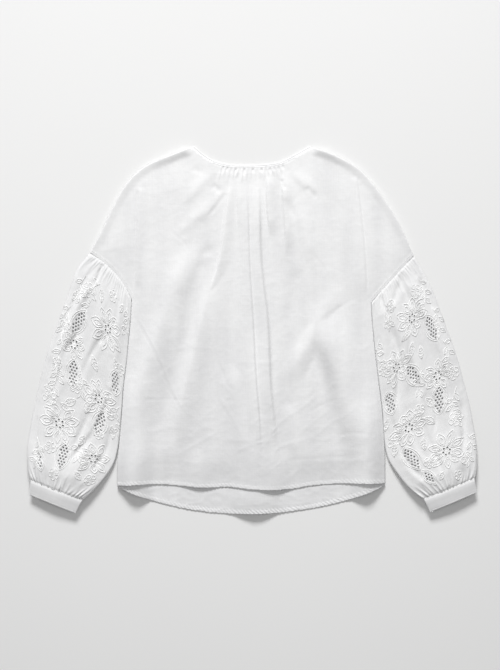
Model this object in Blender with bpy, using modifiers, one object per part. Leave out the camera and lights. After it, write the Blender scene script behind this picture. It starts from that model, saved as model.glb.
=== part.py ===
"""Whitework cotton blouse laid flat on a surface, front side up.

The pieces are a front and a back panel, a neck binding that is one ring folded flat, two full
sleeves that are gathered into the armhole seam and into a cuff, and two cuffs. A sleeve is a tube
pressed flat, so it is built as its top half, with the cutwork gaps, and its plain under half.
Left and right are the sides seen from above.

X runs across the blouse, +Y towards the neck and Z up from the surface that it lies on. The tables
and sizes are in millimetres, and the meshes are made in metres.
"""

import math
from collections import namedtuple

import bmesh
import bpy
import numpy as np
from mathutils import Vector
from mathutils.geometry import delaunay_2d_cdt

METRES = 0.001

# Driving sizes
WALL = 1.4
SEAM_GAP = 0.3
LAYER = WALL + SEAM_GAP
SIDE_GAP = 1.0
CUFF_GAP = 0.6
BINDING_WIDTH = 5.0
CUFF_WALL = 1.6
CUFF_HOLLOW = 1.0
CUFF_THICKNESS = 2 * CUFF_WALL + CUFF_HOLLOW
CUFF_LIFT = 9.0
CUFF_BOW = 2.5
CUFF_CORNERS = 9
SLEEVE_LENGTH = 400.0
SLEEVE_WIDTH = 150.0
SLEEVE_LIFT_LENGTH = 95.0
SLEEVE_CROWN = 4.5
LIFT_GROWTH = 1.04
SLEEVE_RIM = 22.0
SLEEVE_END = 40.0
PANEL_FULLNESS = 2.2
PANEL_RIM = 38.0
NECK_GATHER_COUNT = 15
NECK_PLAIN_POINTS = 6
NECK_GATHER_PITCH = 7.5
NECK_GATHER_SPREAD = 0.16
NECK_GATHER_LENGTH = 46.0
NECK_GATHER_HEIGHT = 3.0
SEAM_GATHER_COUNT = 20
SEAM_GATHER_LENGTH = 44.0
SEAM_GATHER_HEIGHT = 2.6
CUFF_GATHER_COUNT = 16
CUFF_GATHER_LENGTH = 52.0
CUFF_GATHER_HEIGHT = 3.2
EYELET_RADIUS = 2.4
EYELET_SIDES = 6
EYELET_RING = 7.5
EYELETS_A_FLOWER = 6
SLOT_WIDTH = 4.6
SLOT_LENGTH = 10.0
SLOT_PITCH = 8.5

# Spacing of the mesh's points, and how near to others a new one may lie
OUTLINE_STEP = 15.0
SIDE_STEP = 20.0
PANEL_STEP = 27.0
SLEEVE_STEP = 19.0
BACK_STEP = 64.0
UNDER_STEP = 44.0
FILL_SPACE = 0.55
GATHER_SPACE = 3.0
FOLD_SPACE = 7.0
LIFT_SPACE = 9.0
FOOT_OF_FOLD = 1.3
FOLD_STEP = 16.0

Point = namedtuple("Point", "x y")
Fold = namedtuple("Fold", "half_width height line")
Lift = namedtuple("Lift", "x half_width height reach")
Sleeve = namedtuple("Sleeve", "name side outer seam inner cuff flowers slots folds")
Motif = namedtuple("Motif", "along across turn")

# Outline of the body, clockwise from the left neck point
NECK_EDGE = (
    Point(-104, 330),
    Point(-88, 316),
    Point(-68, 304),
    Point(-44, 297.5),
    Point(-9, 296),
    Point(31, 298),
    Point(52, 302.5),
    Point(74, 313),
    Point(90, 322),
    Point(104, 330),
)
LEFT_SHOULDER = (
    Point(-112, 327.5),
    Point(-154, 311),
    Point(-185, 298),
    Point(-212, 278),
    Point(-232, 253),
    Point(-254, 213),
    Point(-276, 166),
    Point(-291.5, 138.5),
)
LEFT_SEAM = (
    Point(-291.5, 138.5),
    Point(-272, 125),
    Point(-253, 109),
    Point(-238, 92),
    Point(-226, 74),
    Point(-216, 54),
)
LEFT_SIDE = (
    Point(-216, 54),
    Point(-218, 18),
    Point(-222, -24),
    Point(-226, -65),
    Point(-230, -95),
    Point(-234, -154),
    Point(-238, -200),
    Point(-241.5, -236),
    Point(-242, -280),
)
RIGHT_SHOULDER = (
    Point(112, 327.5),
    Point(139, 318),
    Point(169, 304),
    Point(194, 288),
    Point(213, 268),
    Point(233, 242),
    Point(254, 210),
    Point(272, 176),
    Point(291, 133),
)
RIGHT_SEAM = (
    Point(291, 133),
    Point(254, 93),
    Point(214, 48),
)
RIGHT_SIDE = (
    Point(214, 48),
    Point(217, 5),
    Point(221, -36),
    Point(228, -96),
    Point(234, -148),
    Point(238, -207),
    Point(239, -276),
)
FRONT_HEM = (
    Point(-242, -280),
    Point(-173, -278),
    Point(-123, -281),
    Point(-95, -284),
    Point(-38, -283),
    Point(5, -287),
    Point(40, -288),
    Point(72, -286),
    Point(111, -280),
    Point(153, -277),
    Point(239, -276),
)
BACK_HEM = (
    Point(-242, -282),
    Point(-194, -302),
    Point(-123, -321),
    Point(-67, -329),
    Point(-3, -331),
    Point(54, -328.5),
    Point(90, -324),
    Point(143, -314),
    Point(196, -298),
    Point(239, -280),
)

# Large folds of the front panel. Each line runs from where the fold starts to where it dies out.
FRONT_FOLDS = (
    Fold(9, 4.8, (Point(-38, 288), Point(-47, 235), Point(-60, 140), Point(-92, 38))),
    Fold(8, 4.2, (Point(-20, 285), Point(-18, 205), Point(-12, 120), Point(4, 10), Point(6, -120))),
    Fold(8, 4.5, (Point(-2, 284), Point(1, 200), Point(8, 120), Point(24, 0))),
    Fold(8, 4.8, (Point(18, 286), Point(15, 215), Point(22, 120), Point(38, -10))),
    Fold(8, 5.0, (Point(38, 290), Point(37, 225), Point(44, 150), Point(46, 90))),
    Fold(11, 5.3, (Point(60, 290), Point(90, 270), Point(132, 222), Point(150, 190))),
    Fold(9, 3.6, (Point(56, 250), Point(66, 220), Point(96, 160), Point(104, 110))),
    Fold(11, 4.5, (Point(-50, 292), Point(-80, 268), Point(-112, 246), Point(-150, 205))),
    Fold(9, 3.6, (Point(-62, 232), Point(-92, 206), Point(-126, 172), Point(-150, 130))),
    Fold(20, 6.4, (Point(-66, 130), Point(-92, 40), Point(-120, -96), Point(-160, -215))),
    Fold(19, 5.6, (Point(150, 80), Point(128, 25), Point(86, -61), Point(60, -110))),
    Fold(17, 5.9, (Point(112, 40), Point(132, -30), Point(146, -110), Point(158, -225))),
    Fold(18, 4.2, (Point(-186, 60), Point(-178, -30), Point(-160, -90), Point(-140, -130))),
    Fold(14, 3.4, (Point(-30, -90), Point(-14, -170), Point(10, -250))),
    Fold(12, 3.6, (Point(40, -150), Point(76, -185), Point(120, -196))),
)
# Pressed folds where the body turns into the dropped shoulders, and the crease along each shoulder
SHOULDER_FOLDS = (
    Fold(5, 1.6, (Point(-205, 262), Point(-205, 196), Point(-206, 129), Point(-209, 70))),
    Fold(5, 1.6, (Point(190, 272), Point(193, 240), Point(199, 171), Point(206, 66))),
    Fold(12, 2.6, (Point(-92, 300), Point(-150, 290), Point(-190, 270), Point(-238, 176))),
    Fold(12, 2.6, (Point(94, 300), Point(145, 286), Point(190, 260), Point(252, 160))),
)
# Where the hems stand off what they lie on
BACK_LIFTS = (
    Lift(-222, 34, 7.0, 62),
    Lift(6, 52, 10.0, 74),
    Lift(214, 34, 7.0, 62),
)
FRONT_LIFTS = (
    Lift(-206, 30, 2.5, 40),
    Lift(-94, 32, 4.5, 55),
    Lift(42, 36, 4.5, 55),
    Lift(188, 24, 2.5, 40),
)

# Sleeves. Motifs and folds are placed on the straightened sleeve: x, or along, runs from the armhole
# seam to the cuff, and y, or across, from the outer edge to the inner one.
LEFT_SLEEVE = Sleeve(
    name="left",
    side=-1,
    outer=(
        Point(-291.5, 138.5),
        Point(-315, 108),
        Point(-329, 68),
        Point(-350, 9),
        Point(-369, -45),
        Point(-383, -99),
        Point(-392, -142),
        Point(-399, -182),
        Point(-403, -219),
        Point(-402, -246),
        Point(-397, -269),
    ),
    seam=LEFT_SEAM,
    inner=LEFT_SIDE[:7]
    + (
        Point(-242, -222),
        Point(-246, -236),
        Point(-262, -263),
        Point(-283, -287),
        Point(-303, -305),
    ),
    cuff=(Point(-397, -269), Point(-303, -305), Point(-317, -329), Point(-399, -296)),
    flowers=(
        Motif(92, 96, 10),
        Motif(150, 40, 35),
        Motif(214, 104, 0),
        Motif(286, 46, 20),
        Motif(318, 116, 50),
    ),
    slots=(Motif(112, 36, 75), Motif(196, 52, 100), Motif(254, 112, 80), Motif(336, 66, 95)),
    folds=(
        Fold(11, 3.6, (Point(20, 62), Point(110, 74), Point(210, 66), Point(300, 76), Point(380, 70))),
        Fold(10, 3.0, (Point(16, 104), Point(96, 118), Point(176, 128), Point(250, 130))),
        Fold(10, 3.2, (Point(24, 30), Point(120, 24), Point(220, 30), Point(320, 26), Point(384, 36))),
        Fold(9, 3.4, (Point(388, 104), Point(320, 98), Point(240, 92), Point(170, 94))),
    ),
)
RIGHT_SLEEVE = Sleeve(
    name="right",
    side=1,
    outer=(
        Point(291, 133),
        Point(311, 99),
        Point(327, 67),
        Point(339, 34),
        Point(354, -7),
        Point(370, -53),
        Point(381, -94),
        Point(389, -124),
        Point(397, -168),
        Point(402, -202),
        Point(403, -228),
        Point(402, -252),
        Point(399, -266),
    ),
    seam=RIGHT_SEAM,
    inner=RIGHT_SIDE[:6]
    + (
        Point(241, -222),
        Point(245, -234),
        Point(259, -256),
        Point(278, -280),
        Point(307, -303),
    ),
    cuff=(Point(399, -266), Point(307, -303), Point(320, -327), Point(403, -292)),
    flowers=(
        Motif(84, 60, 25),
        Motif(146, 112, 0),
        Motif(200, 42, 40),
        Motif(262, 106, 15),
        Motif(330, 56, 30),
    ),
    slots=(Motif(120, 28, 85), Motif(176, 84, 70), Motif(240, 48, 100), Motif(316, 116, 80)),
    folds=(
        Fold(11, 3.6, (Point(22, 84), Point(110, 82), Point(200, 76), Point(290, 84), Point(384, 74))),
        Fold(10, 3.2, (Point(18, 44), Point(90, 32), Point(170, 22), Point(250, 28))),
        Fold(10, 3.0, (Point(30, 120), Point(130, 130), Point(230, 128), Point(320, 118), Point(386, 108))),
        Fold(9, 3.4, (Point(388, 38), Point(310, 32), Point(240, 44), Point(180, 52))),
    ),
)

WHITE_COTTON = (0.86, 0.86, 0.87)
CLOTH_ROUGHNESS = 0.9


def to_array(table):
    """A table of points as rows of x and y."""
    return np.array([(row.x, row.y) for row in table], dtype=float)


def curve(table, step=None, count=None):
    """Points of the smooth curve through a table's points, spaced by about step or count in all."""
    knots = to_array(table)
    chords = np.linalg.norm(np.diff(knots, axis=0), axis=1)
    times = np.concatenate([[0.0], np.cumsum(chords)])
    slopes = np.gradient(knots, times, axis=0)
    fine = np.linspace(0.0, times[-1], 12 * len(knots))
    dense = hermite(fine, times, knots, slopes)
    lengths = np.concatenate([[0.0], np.cumsum(np.linalg.norm(np.diff(dense, axis=0), axis=1))])
    if count is None:
        count = max(2, round(lengths[-1] / step) + 1)
    wanted = np.linspace(0.0, lengths[-1], count)
    return np.column_stack([np.interp(wanted, lengths, dense[:, axis]) for axis in (0, 1)])


def hermite(where, times, knots, slopes):
    """Cubic curve through knots at times, with the given slopes, read at where."""
    left = np.clip(np.searchsorted(times, where, side="right") - 1, 0, len(times) - 2)
    span = times[left + 1] - times[left]
    part = ((where - times[left]) / span)[:, None]
    span = span[:, None]
    start = (1 + 2 * part) * (1 - part) ** 2 * knots[left] + part * (1 - part) ** 2 * span * slopes[left]
    end = part**2 * (3 - 2 * part) * knots[left + 1] + part**2 * (part - 1) * span * slopes[left + 1]
    return start + end


def offset(line, distance):
    """A line moved sideways, to its right where distance is positive."""
    along = np.gradient(line, axis=0)
    along /= np.linalg.norm(along, axis=1)[:, None]
    return line + distance * np.column_stack([along[:, 1], -along[:, 0]])


def smooth(part):
    """Rises from 0 to 1 with level ends."""
    part = np.clip(part, 0.0, 1.0)
    return part * part * (3 - 2 * part)


def nearest(points, line):
    """Distance from each point to an open line, and how far along the line that is, from 0 to 1."""
    starts = line[:-1]
    steps = np.diff(line, axis=0)
    lengths = np.linalg.norm(steps, axis=1)
    before = np.concatenate([[0.0], np.cumsum(lengths)])
    away = points[:, None, :] - starts[None, :, :]
    part = np.clip((away * steps).sum(axis=2) / (lengths**2), 0.0, 1.0)
    gaps = np.linalg.norm(away - part[:, :, None] * steps, axis=2)
    best = gaps.argmin(axis=1)
    rows = np.arange(len(points))
    reached = before[best] + part[rows, best] * lengths[best]
    return gaps[rows, best], reached / before[-1]


def fold_heights(points, folds):
    """Height that a table of soft ridges adds at each point: the highest ridge there counts."""
    highest = np.zeros(len(points))
    for fold in folds:
        gap, part = nearest(points, curve(fold.line, step=FOLD_STEP))
        ends = smooth(part / 0.22) * smooth((1 - part) / 0.3)
        ridge = fold.height * ends * np.exp(-((gap / fold.half_width) ** 2))
        highest = np.maximum(highest, ridge)
    return highest


def lift_heights(points, lifts, hem):
    """Height to which the waves of a hem lift the cloth."""
    line = curve(hem, step=OUTLINE_STEP)
    order = line[:, 0].argsort()
    above = points[:, 1] - np.interp(points[:, 0], line[order, 0], line[order, 1])
    total = np.zeros(len(points))
    for lift in lifts:
        near = smooth(1 - np.abs(points[:, 0] - lift.x) / (2 * lift.half_width))
        total += lift.height * near * smooth(1 - above / lift.reach)
    return total


def neck_line():
    """The neck's edge, with two points for each gather and some plain ones at its ends."""
    return curve(NECK_EDGE, count=2 * (NECK_GATHER_COUNT + NECK_PLAIN_POINTS) + 1)


def panel_neck_edge():
    """The panels' edge below the binding."""
    return offset(neck_line(), BINDING_WIDTH + SEAM_GAP)


def body_outline(hem):
    """Outline of a body panel, clockwise from the left neck point, with its neck edge below the binding."""
    runs = [
        panel_neck_edge(),
        curve(RIGHT_SHOULDER, step=OUTLINE_STEP),
        curve(RIGHT_SEAM, count=2 * SEAM_GATHER_COUNT + 1)[1:],
        curve(RIGHT_SIDE, step=SIDE_STEP)[1:],
        curve(hem, step=OUTLINE_STEP)[::-1][1:-1],
        curve(LEFT_SIDE, step=SIDE_STEP)[::-1],
        curve(LEFT_SEAM, count=2 * SEAM_GATHER_COUNT + 1)[::-1][1:],
        curve(LEFT_SHOULDER, step=OUTLINE_STEP)[::-1][1:],
    ]
    return np.concatenate(runs)


class SheetPlan:
    """Flat plan of a sheet: its outline, the gaps cut in it, fold lines and the points that fill it."""

    def __init__(self, outline):
        self.outline = outline
        self.points = [tuple(point) for point in outline]
        self.edges = [(i, (i + 1) % len(outline)) for i in range(len(outline))]
        self.gaps = []

    def clear_of(self, points, space):
        """Which of the points lie at least a space from all that the plan holds."""
        held = np.array(self.points)
        gaps = np.linalg.norm(points[:, None, :] - held[None, :, :], axis=2)
        return gaps.min(axis=1) >= space

    def inside(self, points, ring):
        """Which of the points lie inside a closed ring."""
        x, y = points[:, 0], points[:, 1]
        found = np.zeros(len(points), dtype=bool)
        for (x0, y0), (x1, y1) in zip(ring, np.roll(ring, -1, axis=0)):
            crosses = (y0 > y) != (y1 > y)
            if y0 != y1:
                found ^= crosses & (x < x0 + (y - y0) * (x1 - x0) / (y1 - y0))
        return found

    def add_points(self, points, space):
        """Adds those points that are inside the outline and clear of the rest."""
        points = np.asarray(points, dtype=float)
        for point in points[self.inside(points, self.outline)]:
            if self.clear_of(point[None, :], space)[0]:
                self.points.append(tuple(point))

    def add_gap(self, ring):
        """Cuts a gap whose edge is the ring."""
        first = len(self.points)
        self.gaps.append(np.asarray(ring))
        self.points += [tuple(point) for point in ring]
        self.edges += [(first + i, first + (i + 1) % len(ring)) for i in range(len(ring))]

    def add_folds(self, folds, space):
        """Adds a row of points along each fold's crest and along both of its feet."""
        for fold in folds:
            first = len(self.points)
            self.add_points(curve(fold.line, step=FOLD_STEP), space)
            for index in range(first, len(self.points) - 1):
                if math.dist(self.points[index], self.points[index + 1]) < 1.5 * FOLD_STEP:
                    self.edges.append((index, index + 1))
        for fold in folds:
            crest = curve(fold.line, step=1.5 * FOLD_STEP)
            for side in (-1, 1):
                self.add_points(offset(crest, side * FOOT_OF_FOLD * fold.half_width), space)

    def fill(self, step, space):
        """Fills the rest with an even pattern of points."""
        low = self.outline.min(axis=0)
        high = self.outline.max(axis=0)
        row_step = step * math.sqrt(3) / 2
        rows = np.arange(low[1] + row_step / 2, high[1], row_step)
        for index, y in enumerate(rows):
            start = low[0] + (0.5 + 0.5 * (index % 2)) * step
            across = np.arange(start, high[0], step)
            self.add_points(np.column_stack([across, np.full(len(across), y)]), space)

    def triangles(self):
        """The plan's points and triangles, without those in the gaps or outside the outline."""
        made = delaunay_2d_cdt([Vector(point) for point in self.points], self.edges, [], 0, 1e-5)
        points = np.array([tuple(point) for point in made[0]])
        faces = [face for face in made[2] if len(face) == 3]
        centres = np.array([points[list(face)].mean(axis=0) for face in faces])
        keep = self.inside(centres, self.outline)
        for ring in self.gaps:
            keep &= ~self.inside(centres, ring)
        return points, [face for face, kept in zip(faces, keep) if kept]


def cotton(name):
    """A matt white cotton finish of the part's own."""
    material = bpy.data.materials.new(name)
    material.use_nodes = True
    shader = material.node_tree.nodes["Principled BSDF"]
    shader.inputs["Base Color"].default_value = (*WHITE_COTTON, 1.0)
    shader.inputs["Roughness"].default_value = CLOTH_ROUGHNESS
    shader.inputs["Metallic"].default_value = 0.0
    return material


def add_object(name, mesh, collection):
    """Puts a mesh into the blouse as a named object with its own material, shaded smooth."""
    mesh.materials.append(cotton(name))
    mesh.shade_smooth()
    mesh.set_sharp_from_angle(angle=math.radians(50))
    made = bpy.data.objects.new(name, mesh)
    collection.objects.link(made)
    return made


def add_sheet(name, plan, place, collection):
    """Makes a cloth wall: the plan's triangles, placed as the wall's underside and raised by its thickness."""
    flat, faces = plan.triangles()
    sheet = bmesh.new()
    corners = [sheet.verts.new(Vector(point) * METRES) for point in place(flat)]
    for face in faces:
        sheet.faces.new([corners[index] for index in face])
    bmesh.ops.delete(sheet, geom=[corner for corner in corners if not corner.link_faces], context="VERTS")
    raised = bmesh.ops.extrude_face_region(sheet, geom=sheet.faces[:])
    top = [item for item in raised["geom"] if isinstance(item, bmesh.types.BMVert)]
    bmesh.ops.translate(sheet, verts=top, vec=(0, 0, WALL * METRES))
    bmesh.ops.recalc_face_normals(sheet, faces=sheet.faces[:])
    mesh = bpy.data.meshes.new(name)
    sheet.to_mesh(mesh)
    sheet.free()
    return add_object(name, mesh, collection)


def add_ring(name, sections, collection):
    """Makes one closed ring from sections that all have the same number of corners."""
    ring = bmesh.new()
    loops = [[ring.verts.new(Vector(point) * METRES) for point in section] for section in sections]
    for this, following in zip(loops, loops[1:] + loops[:1]):
        for corner in range(len(this)):
            after = (corner + 1) % len(this)
            ring.faces.new((this[corner], this[after], following[after], following[corner]))
    bmesh.ops.triangulate(ring, faces=ring.faces[:])
    bmesh.ops.recalc_face_normals(ring, faces=ring.faces[:])
    mesh = bpy.data.meshes.new(name)
    ring.to_mesh(mesh)
    ring.free()
    return add_object(name, mesh, collection)


def neck_gather_lines():
    """Lines of the small gathers that hang from the middle of the front neck."""
    first = NECK_PLAIN_POINTS + 1
    starts = panel_neck_edge()[first:-first:2]
    for index, start in enumerate(starts):
        spread = NECK_GATHER_SPREAD * (start[0] - starts[len(starts) // 2][0])
        length = NECK_GATHER_LENGTH * (0.7 + 0.3 * math.cos(2.4 * index))
        yield np.array([start, start + (0.5 * spread, -0.5 * length), start + (spread, -length)])


def gather_heights(points, lines, spacing, height):
    """Height of small gathers along lines that start at a seam and die out."""
    highest = np.zeros(len(points))
    for line in lines:
        gap, part = nearest(points, line)
        ridge = height * (0.45 + 0.55 * smooth(part / 0.3)) * smooth((1 - part) / 0.75)
        highest = np.maximum(highest, ridge * np.clip(1 - gap / (0.5 * spacing), 0.0, 1.0))
    return highest


def back_place(flat):
    """Underside of the back panel: on the surface, apart from where its hem lifts."""
    return np.column_stack([flat, lift_heights(flat, BACK_LIFTS, BACK_HEM)])


def front_place(flat):
    """Underside of the front panel: the back panel's points moved up a layer, with the front's own folds."""
    closed = np.concatenate([body_outline(FRONT_HEM), body_outline(FRONT_HEM)[:1]])
    edge_gap, _ = nearest(flat, closed)
    rim = smooth(edge_gap / PANEL_RIM)
    close_rim = smooth(edge_gap / (0.25 * PANEL_RIM))
    below = lift_heights(flat, BACK_LIFTS, BACK_HEM)
    gathers = gather_heights(flat, neck_gather_lines(), NECK_GATHER_PITCH, NECK_GATHER_HEIGHT)
    own = PANEL_FULLNESS * rim + lift_heights(flat, FRONT_LIFTS, FRONT_HEM) + 0.2 * below
    folds = close_rim * np.maximum(fold_heights(flat, FRONT_FOLDS), fold_heights(flat, SHOULDER_FOLDS))
    return np.column_stack([flat, LAYER + below + own + np.maximum(folds, gathers)])


def add_body(collection):
    """Back panel, then the front panel that lies on it."""
    back = SheetPlan(body_outline(BACK_HEM))
    for lift in BACK_LIFTS:
        for reach in (0.12, 0.34, 0.6, 1.0):
            across = np.linspace(-2, 2, 9) * lift.half_width + lift.x
            hem = curve(BACK_HEM, step=OUTLINE_STEP)
            order = hem[:, 0].argsort()
            height = np.interp(across, hem[order, 0], hem[order, 1]) + reach * lift.reach
            back.add_points(np.column_stack([across, height]), LIFT_SPACE)
    back.fill(BACK_STEP, 0.4 * BACK_STEP)
    add_sheet("back_panel", back, back_place, collection)

    front = SheetPlan(body_outline(FRONT_HEM))
    for line in neck_gather_lines():
        halfway = (line[0] + line[1]) / 2
        to_trough = (NECK_GATHER_PITCH / 2, 0)
        front.add_points([halfway, line[1], line[2]], GATHER_SPACE)
        front.add_points([halfway + to_trough, line[1] + to_trough], GATHER_SPACE)
    front.add_folds(FRONT_FOLDS + SHOULDER_FOLDS, FOLD_SPACE)
    front.fill(PANEL_STEP, FILL_SPACE * PANEL_STEP)
    add_sheet("front_panel", front, front_place, collection)


def add_neck_binding(collection):
    """The binding: one ring along the front neck, over at a neck point and back below."""
    edge = neck_line()
    centre_line = offset(edge, BINDING_WIDTH / 2)
    along = np.gradient(edge, axis=0)
    along /= np.linalg.norm(along, axis=1)[:, None]
    middle = LAYER - SEAM_GAP / 2
    radius = LAYER / 2
    path = []
    for point, way in zip(centre_line, along):
        path.append((*point, middle + radius, way, 0.0))
    for turn in (45, 90, 135):
        angle = math.radians(turn)
        point = centre_line[-1] + along[-1] * radius * math.sin(angle)
        path.append((*point, middle + radius * math.cos(angle), along[-1], angle))
    for point, way in zip(centre_line[::-1], along[::-1]):
        path.append((*point, middle - radius, way, math.pi))
    for turn in (225, 270, 315):
        angle = math.radians(turn)
        point = centre_line[0] + along[0] * radius * math.sin(angle)
        path.append((*point, middle + radius * math.cos(angle), along[0], angle))
    sections = []
    for x, y, z, way, angle in path:
        centre = np.array([x, y, z])
        across = np.array([way[1], -way[0], 0.0]) * BINDING_WIDTH / 2
        outward = np.array([*(way * math.sin(angle)), math.cos(angle)]) * WALL / 2
        corners = ((-1, 1), (1, 1), (1, -1), (-1, -1))
        sections.append([centre + side * across + up * outward for side, up in corners])
    add_ring("neck_binding", sections, collection)


def sleeve_edges(sleeve):
    """The four edges of a sleeve's flat shape as dense lines: outer, inner, armhole seam and cuff."""
    outer = curve(sleeve.outer, count=60)
    seam = offset(curve(sleeve.seam, count=2 * SEAM_GATHER_COUNT + 1), -sleeve.side * SEAM_GAP)
    inner = offset(curve(sleeve.inner, count=60), -sleeve.side * SIDE_GAP)
    cuff = curve(sleeve.cuff[:2], count=30)
    outer = bend_end(outer[::-1], seam[0])[::-1]
    seam = bend_end(seam, inner[0])
    inner = bend_end(inner, cuff[-1])
    return outer, inner, seam, cuff


def bend_end(line, target):
    """A line whose last stretch is bent to end at the target."""
    part = smooth(np.linspace(0, 1, len(line)) * 8 - 7)[:, None]
    return line + (target - line[-1]) * part


def read_line(line, part):
    """Points of a line at parts of its length, from 0 to 1."""
    lengths = np.concatenate([[0.0], np.cumsum(np.linalg.norm(np.diff(line, axis=0), axis=1))])
    wanted = part * lengths[-1]
    return np.column_stack([np.interp(wanted, lengths, line[:, axis]) for axis in (0, 1)])


def sleeve_ground(sleeve, flat):
    """Where points of a sleeve's straightened shape lie on the surface, blended from its four edges."""
    outer, inner, seam, cuff = sleeve_edges(sleeve)
    u = np.clip(flat[:, 0] / SLEEVE_LENGTH, 0, 1)
    v = np.clip(flat[:, 1] / SLEEVE_WIDTH, 0, 1)
    sides = (1 - v)[:, None] * read_line(outer, u) + v[:, None] * read_line(inner, u)
    ends = (1 - u)[:, None] * read_line(seam, v) + u[:, None] * read_line(cuff, v)
    corners = (
        ((1 - u) * (1 - v))[:, None] * outer[0]
        + (u * (1 - v))[:, None] * outer[-1]
        + ((1 - u) * v)[:, None] * inner[0]
        + (u * v)[:, None] * inner[-1]
    )
    return sides + ends - corners


def cuff_rise(across_part):
    """Height of a cuff's underside, which bows up in its middle."""
    return CUFF_LIFT + CUFF_BOW * np.sin(np.pi * np.clip(across_part, 0, 1))


def sleeve_lift(flat):
    """Height to which the cuff lifts the sleeve."""
    part = smooth(1 - (SLEEVE_LENGTH - flat[:, 0]) / SLEEVE_LIFT_LENGTH)
    return part * cuff_rise(flat[:, 1] / SLEEVE_WIDTH)


def end_gather_lines(start, way, count, length):
    """Lines of the gathers at one end of a sleeve, uneven in length."""
    for index in range(count):
        across = (index + 0.5) * SLEEVE_WIDTH / count
        reach = length * (0.72 + 0.28 * math.sin(1.9 * index + start))
        bend = 0.5 * math.sin(2.7 * index)
        spread = 0.1 * (across - SLEEVE_WIDTH / 2) * (1 - across / SLEEVE_WIDTH) + 2 * bend
        halfway = (start + way * reach / 2, across + bend)
        end = (start + way * reach, across + spread)
        yield np.array([(start, across), halfway, end])


def under_place(sleeve):
    """Placing of a sleeve's under half: on the surface, and up to the cuff."""

    def place(flat):
        return np.column_stack([sleeve_ground(sleeve, flat), sleeve_lift(flat)])

    return place


def top_place(sleeve):
    """Placing of a sleeve's top half: the under half's points moved up a layer, with its crown and gathers."""

    def place(flat):
        rim = np.minimum(flat[:, 1], SLEEVE_WIDTH - flat[:, 1])
        ends = smooth(flat[:, 0] / SLEEVE_END) * smooth((SLEEVE_LENGTH - flat[:, 0]) / SLEEVE_END)
        crown = SLEEVE_CROWN * smooth(rim / SLEEVE_RIM) * (0.15 + 0.85 * ends)
        seam = end_gather_lines(0.0, 1, SEAM_GATHER_COUNT, SEAM_GATHER_LENGTH)
        cuff = end_gather_lines(SLEEVE_LENGTH, -1, CUFF_GATHER_COUNT, CUFF_GATHER_LENGTH)
        gathers = np.maximum(
            gather_heights(flat, seam, SLEEVE_WIDTH / SEAM_GATHER_COUNT, SEAM_GATHER_HEIGHT),
            gather_heights(flat, cuff, SLEEVE_WIDTH / CUFF_GATHER_COUNT, CUFF_GATHER_HEIGHT),
        )
        folds = ends * fold_heights(flat, sleeve.folds) * smooth(2 * rim / SLEEVE_RIM)
        height = LAYER + LIFT_GROWTH * sleeve_lift(flat) + crown + np.maximum(folds, gathers)
        return np.column_stack([sleeve_ground(sleeve, flat), height])

    return place


def sleeve_outline():
    """Outline of a straightened sleeve, with the seam and cuff points that its gathers need."""
    at_seam = np.linspace(0, SLEEVE_WIDTH, 2 * SEAM_GATHER_COUNT + 1)
    at_cuff = np.linspace(SLEEVE_WIDTH, 0, 2 * CUFF_GATHER_COUNT + 1)
    runs = np.linspace(0, SLEEVE_LENGTH, round(SLEEVE_LENGTH / SIDE_STEP) + 1)[1:-1]
    edges = (
        (np.zeros(len(at_seam)), at_seam),
        (runs, np.full(len(runs), SLEEVE_WIDTH)),
        (np.full(len(at_cuff), SLEEVE_LENGTH), at_cuff),
        (runs[::-1], np.zeros(len(runs))),
    )
    return np.concatenate([np.column_stack(edge) for edge in edges])


def eyelet(centre, radius):
    """Edge of a round eyelet."""
    turns = np.arange(EYELET_SIDES) * 2 * math.pi / EYELET_SIDES
    return centre + radius * np.column_stack([np.cos(turns), np.sin(turns)])


def slot(centre, turn):
    """Edge of a slim slot with pointed ends, its length along the turn."""
    corners = ((1.0, 0.0), (0.45, 1.0), (-0.45, 1.0), (-1.0, 0.0), (-0.45, -1.0), (0.45, -1.0))
    shape = np.array(corners) * (SLOT_LENGTH / 2, SLOT_WIDTH / 2)
    angle = math.radians(turn)
    spin = np.array([(math.cos(angle), math.sin(angle)), (-math.sin(angle), math.cos(angle))])
    return centre + shape @ spin


def add_cutwork(plan, sleeve):
    """Cuts a ring of eyelets at the heart of each flower and three slots in each openwork leaf."""
    for flower in sleeve.flowers:
        heart = np.array([flower.along, flower.across])
        for index in range(EYELETS_A_FLOWER):
            angle = math.radians(flower.turn) + index * 2 * math.pi / EYELETS_A_FLOWER
            out = EYELET_RING * np.array([math.cos(angle), math.sin(angle)])
            plan.add_gap(eyelet(heart + out, EYELET_RADIUS))
    for leaf in sleeve.slots:
        angle = math.radians(leaf.turn + 90)
        for index in (-1, 0, 1):
            shift = index * SLOT_PITCH * np.array([math.cos(angle), math.sin(angle)])
            plan.add_gap(slot(np.array([leaf.along, leaf.across]) + shift, leaf.turn))


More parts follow.
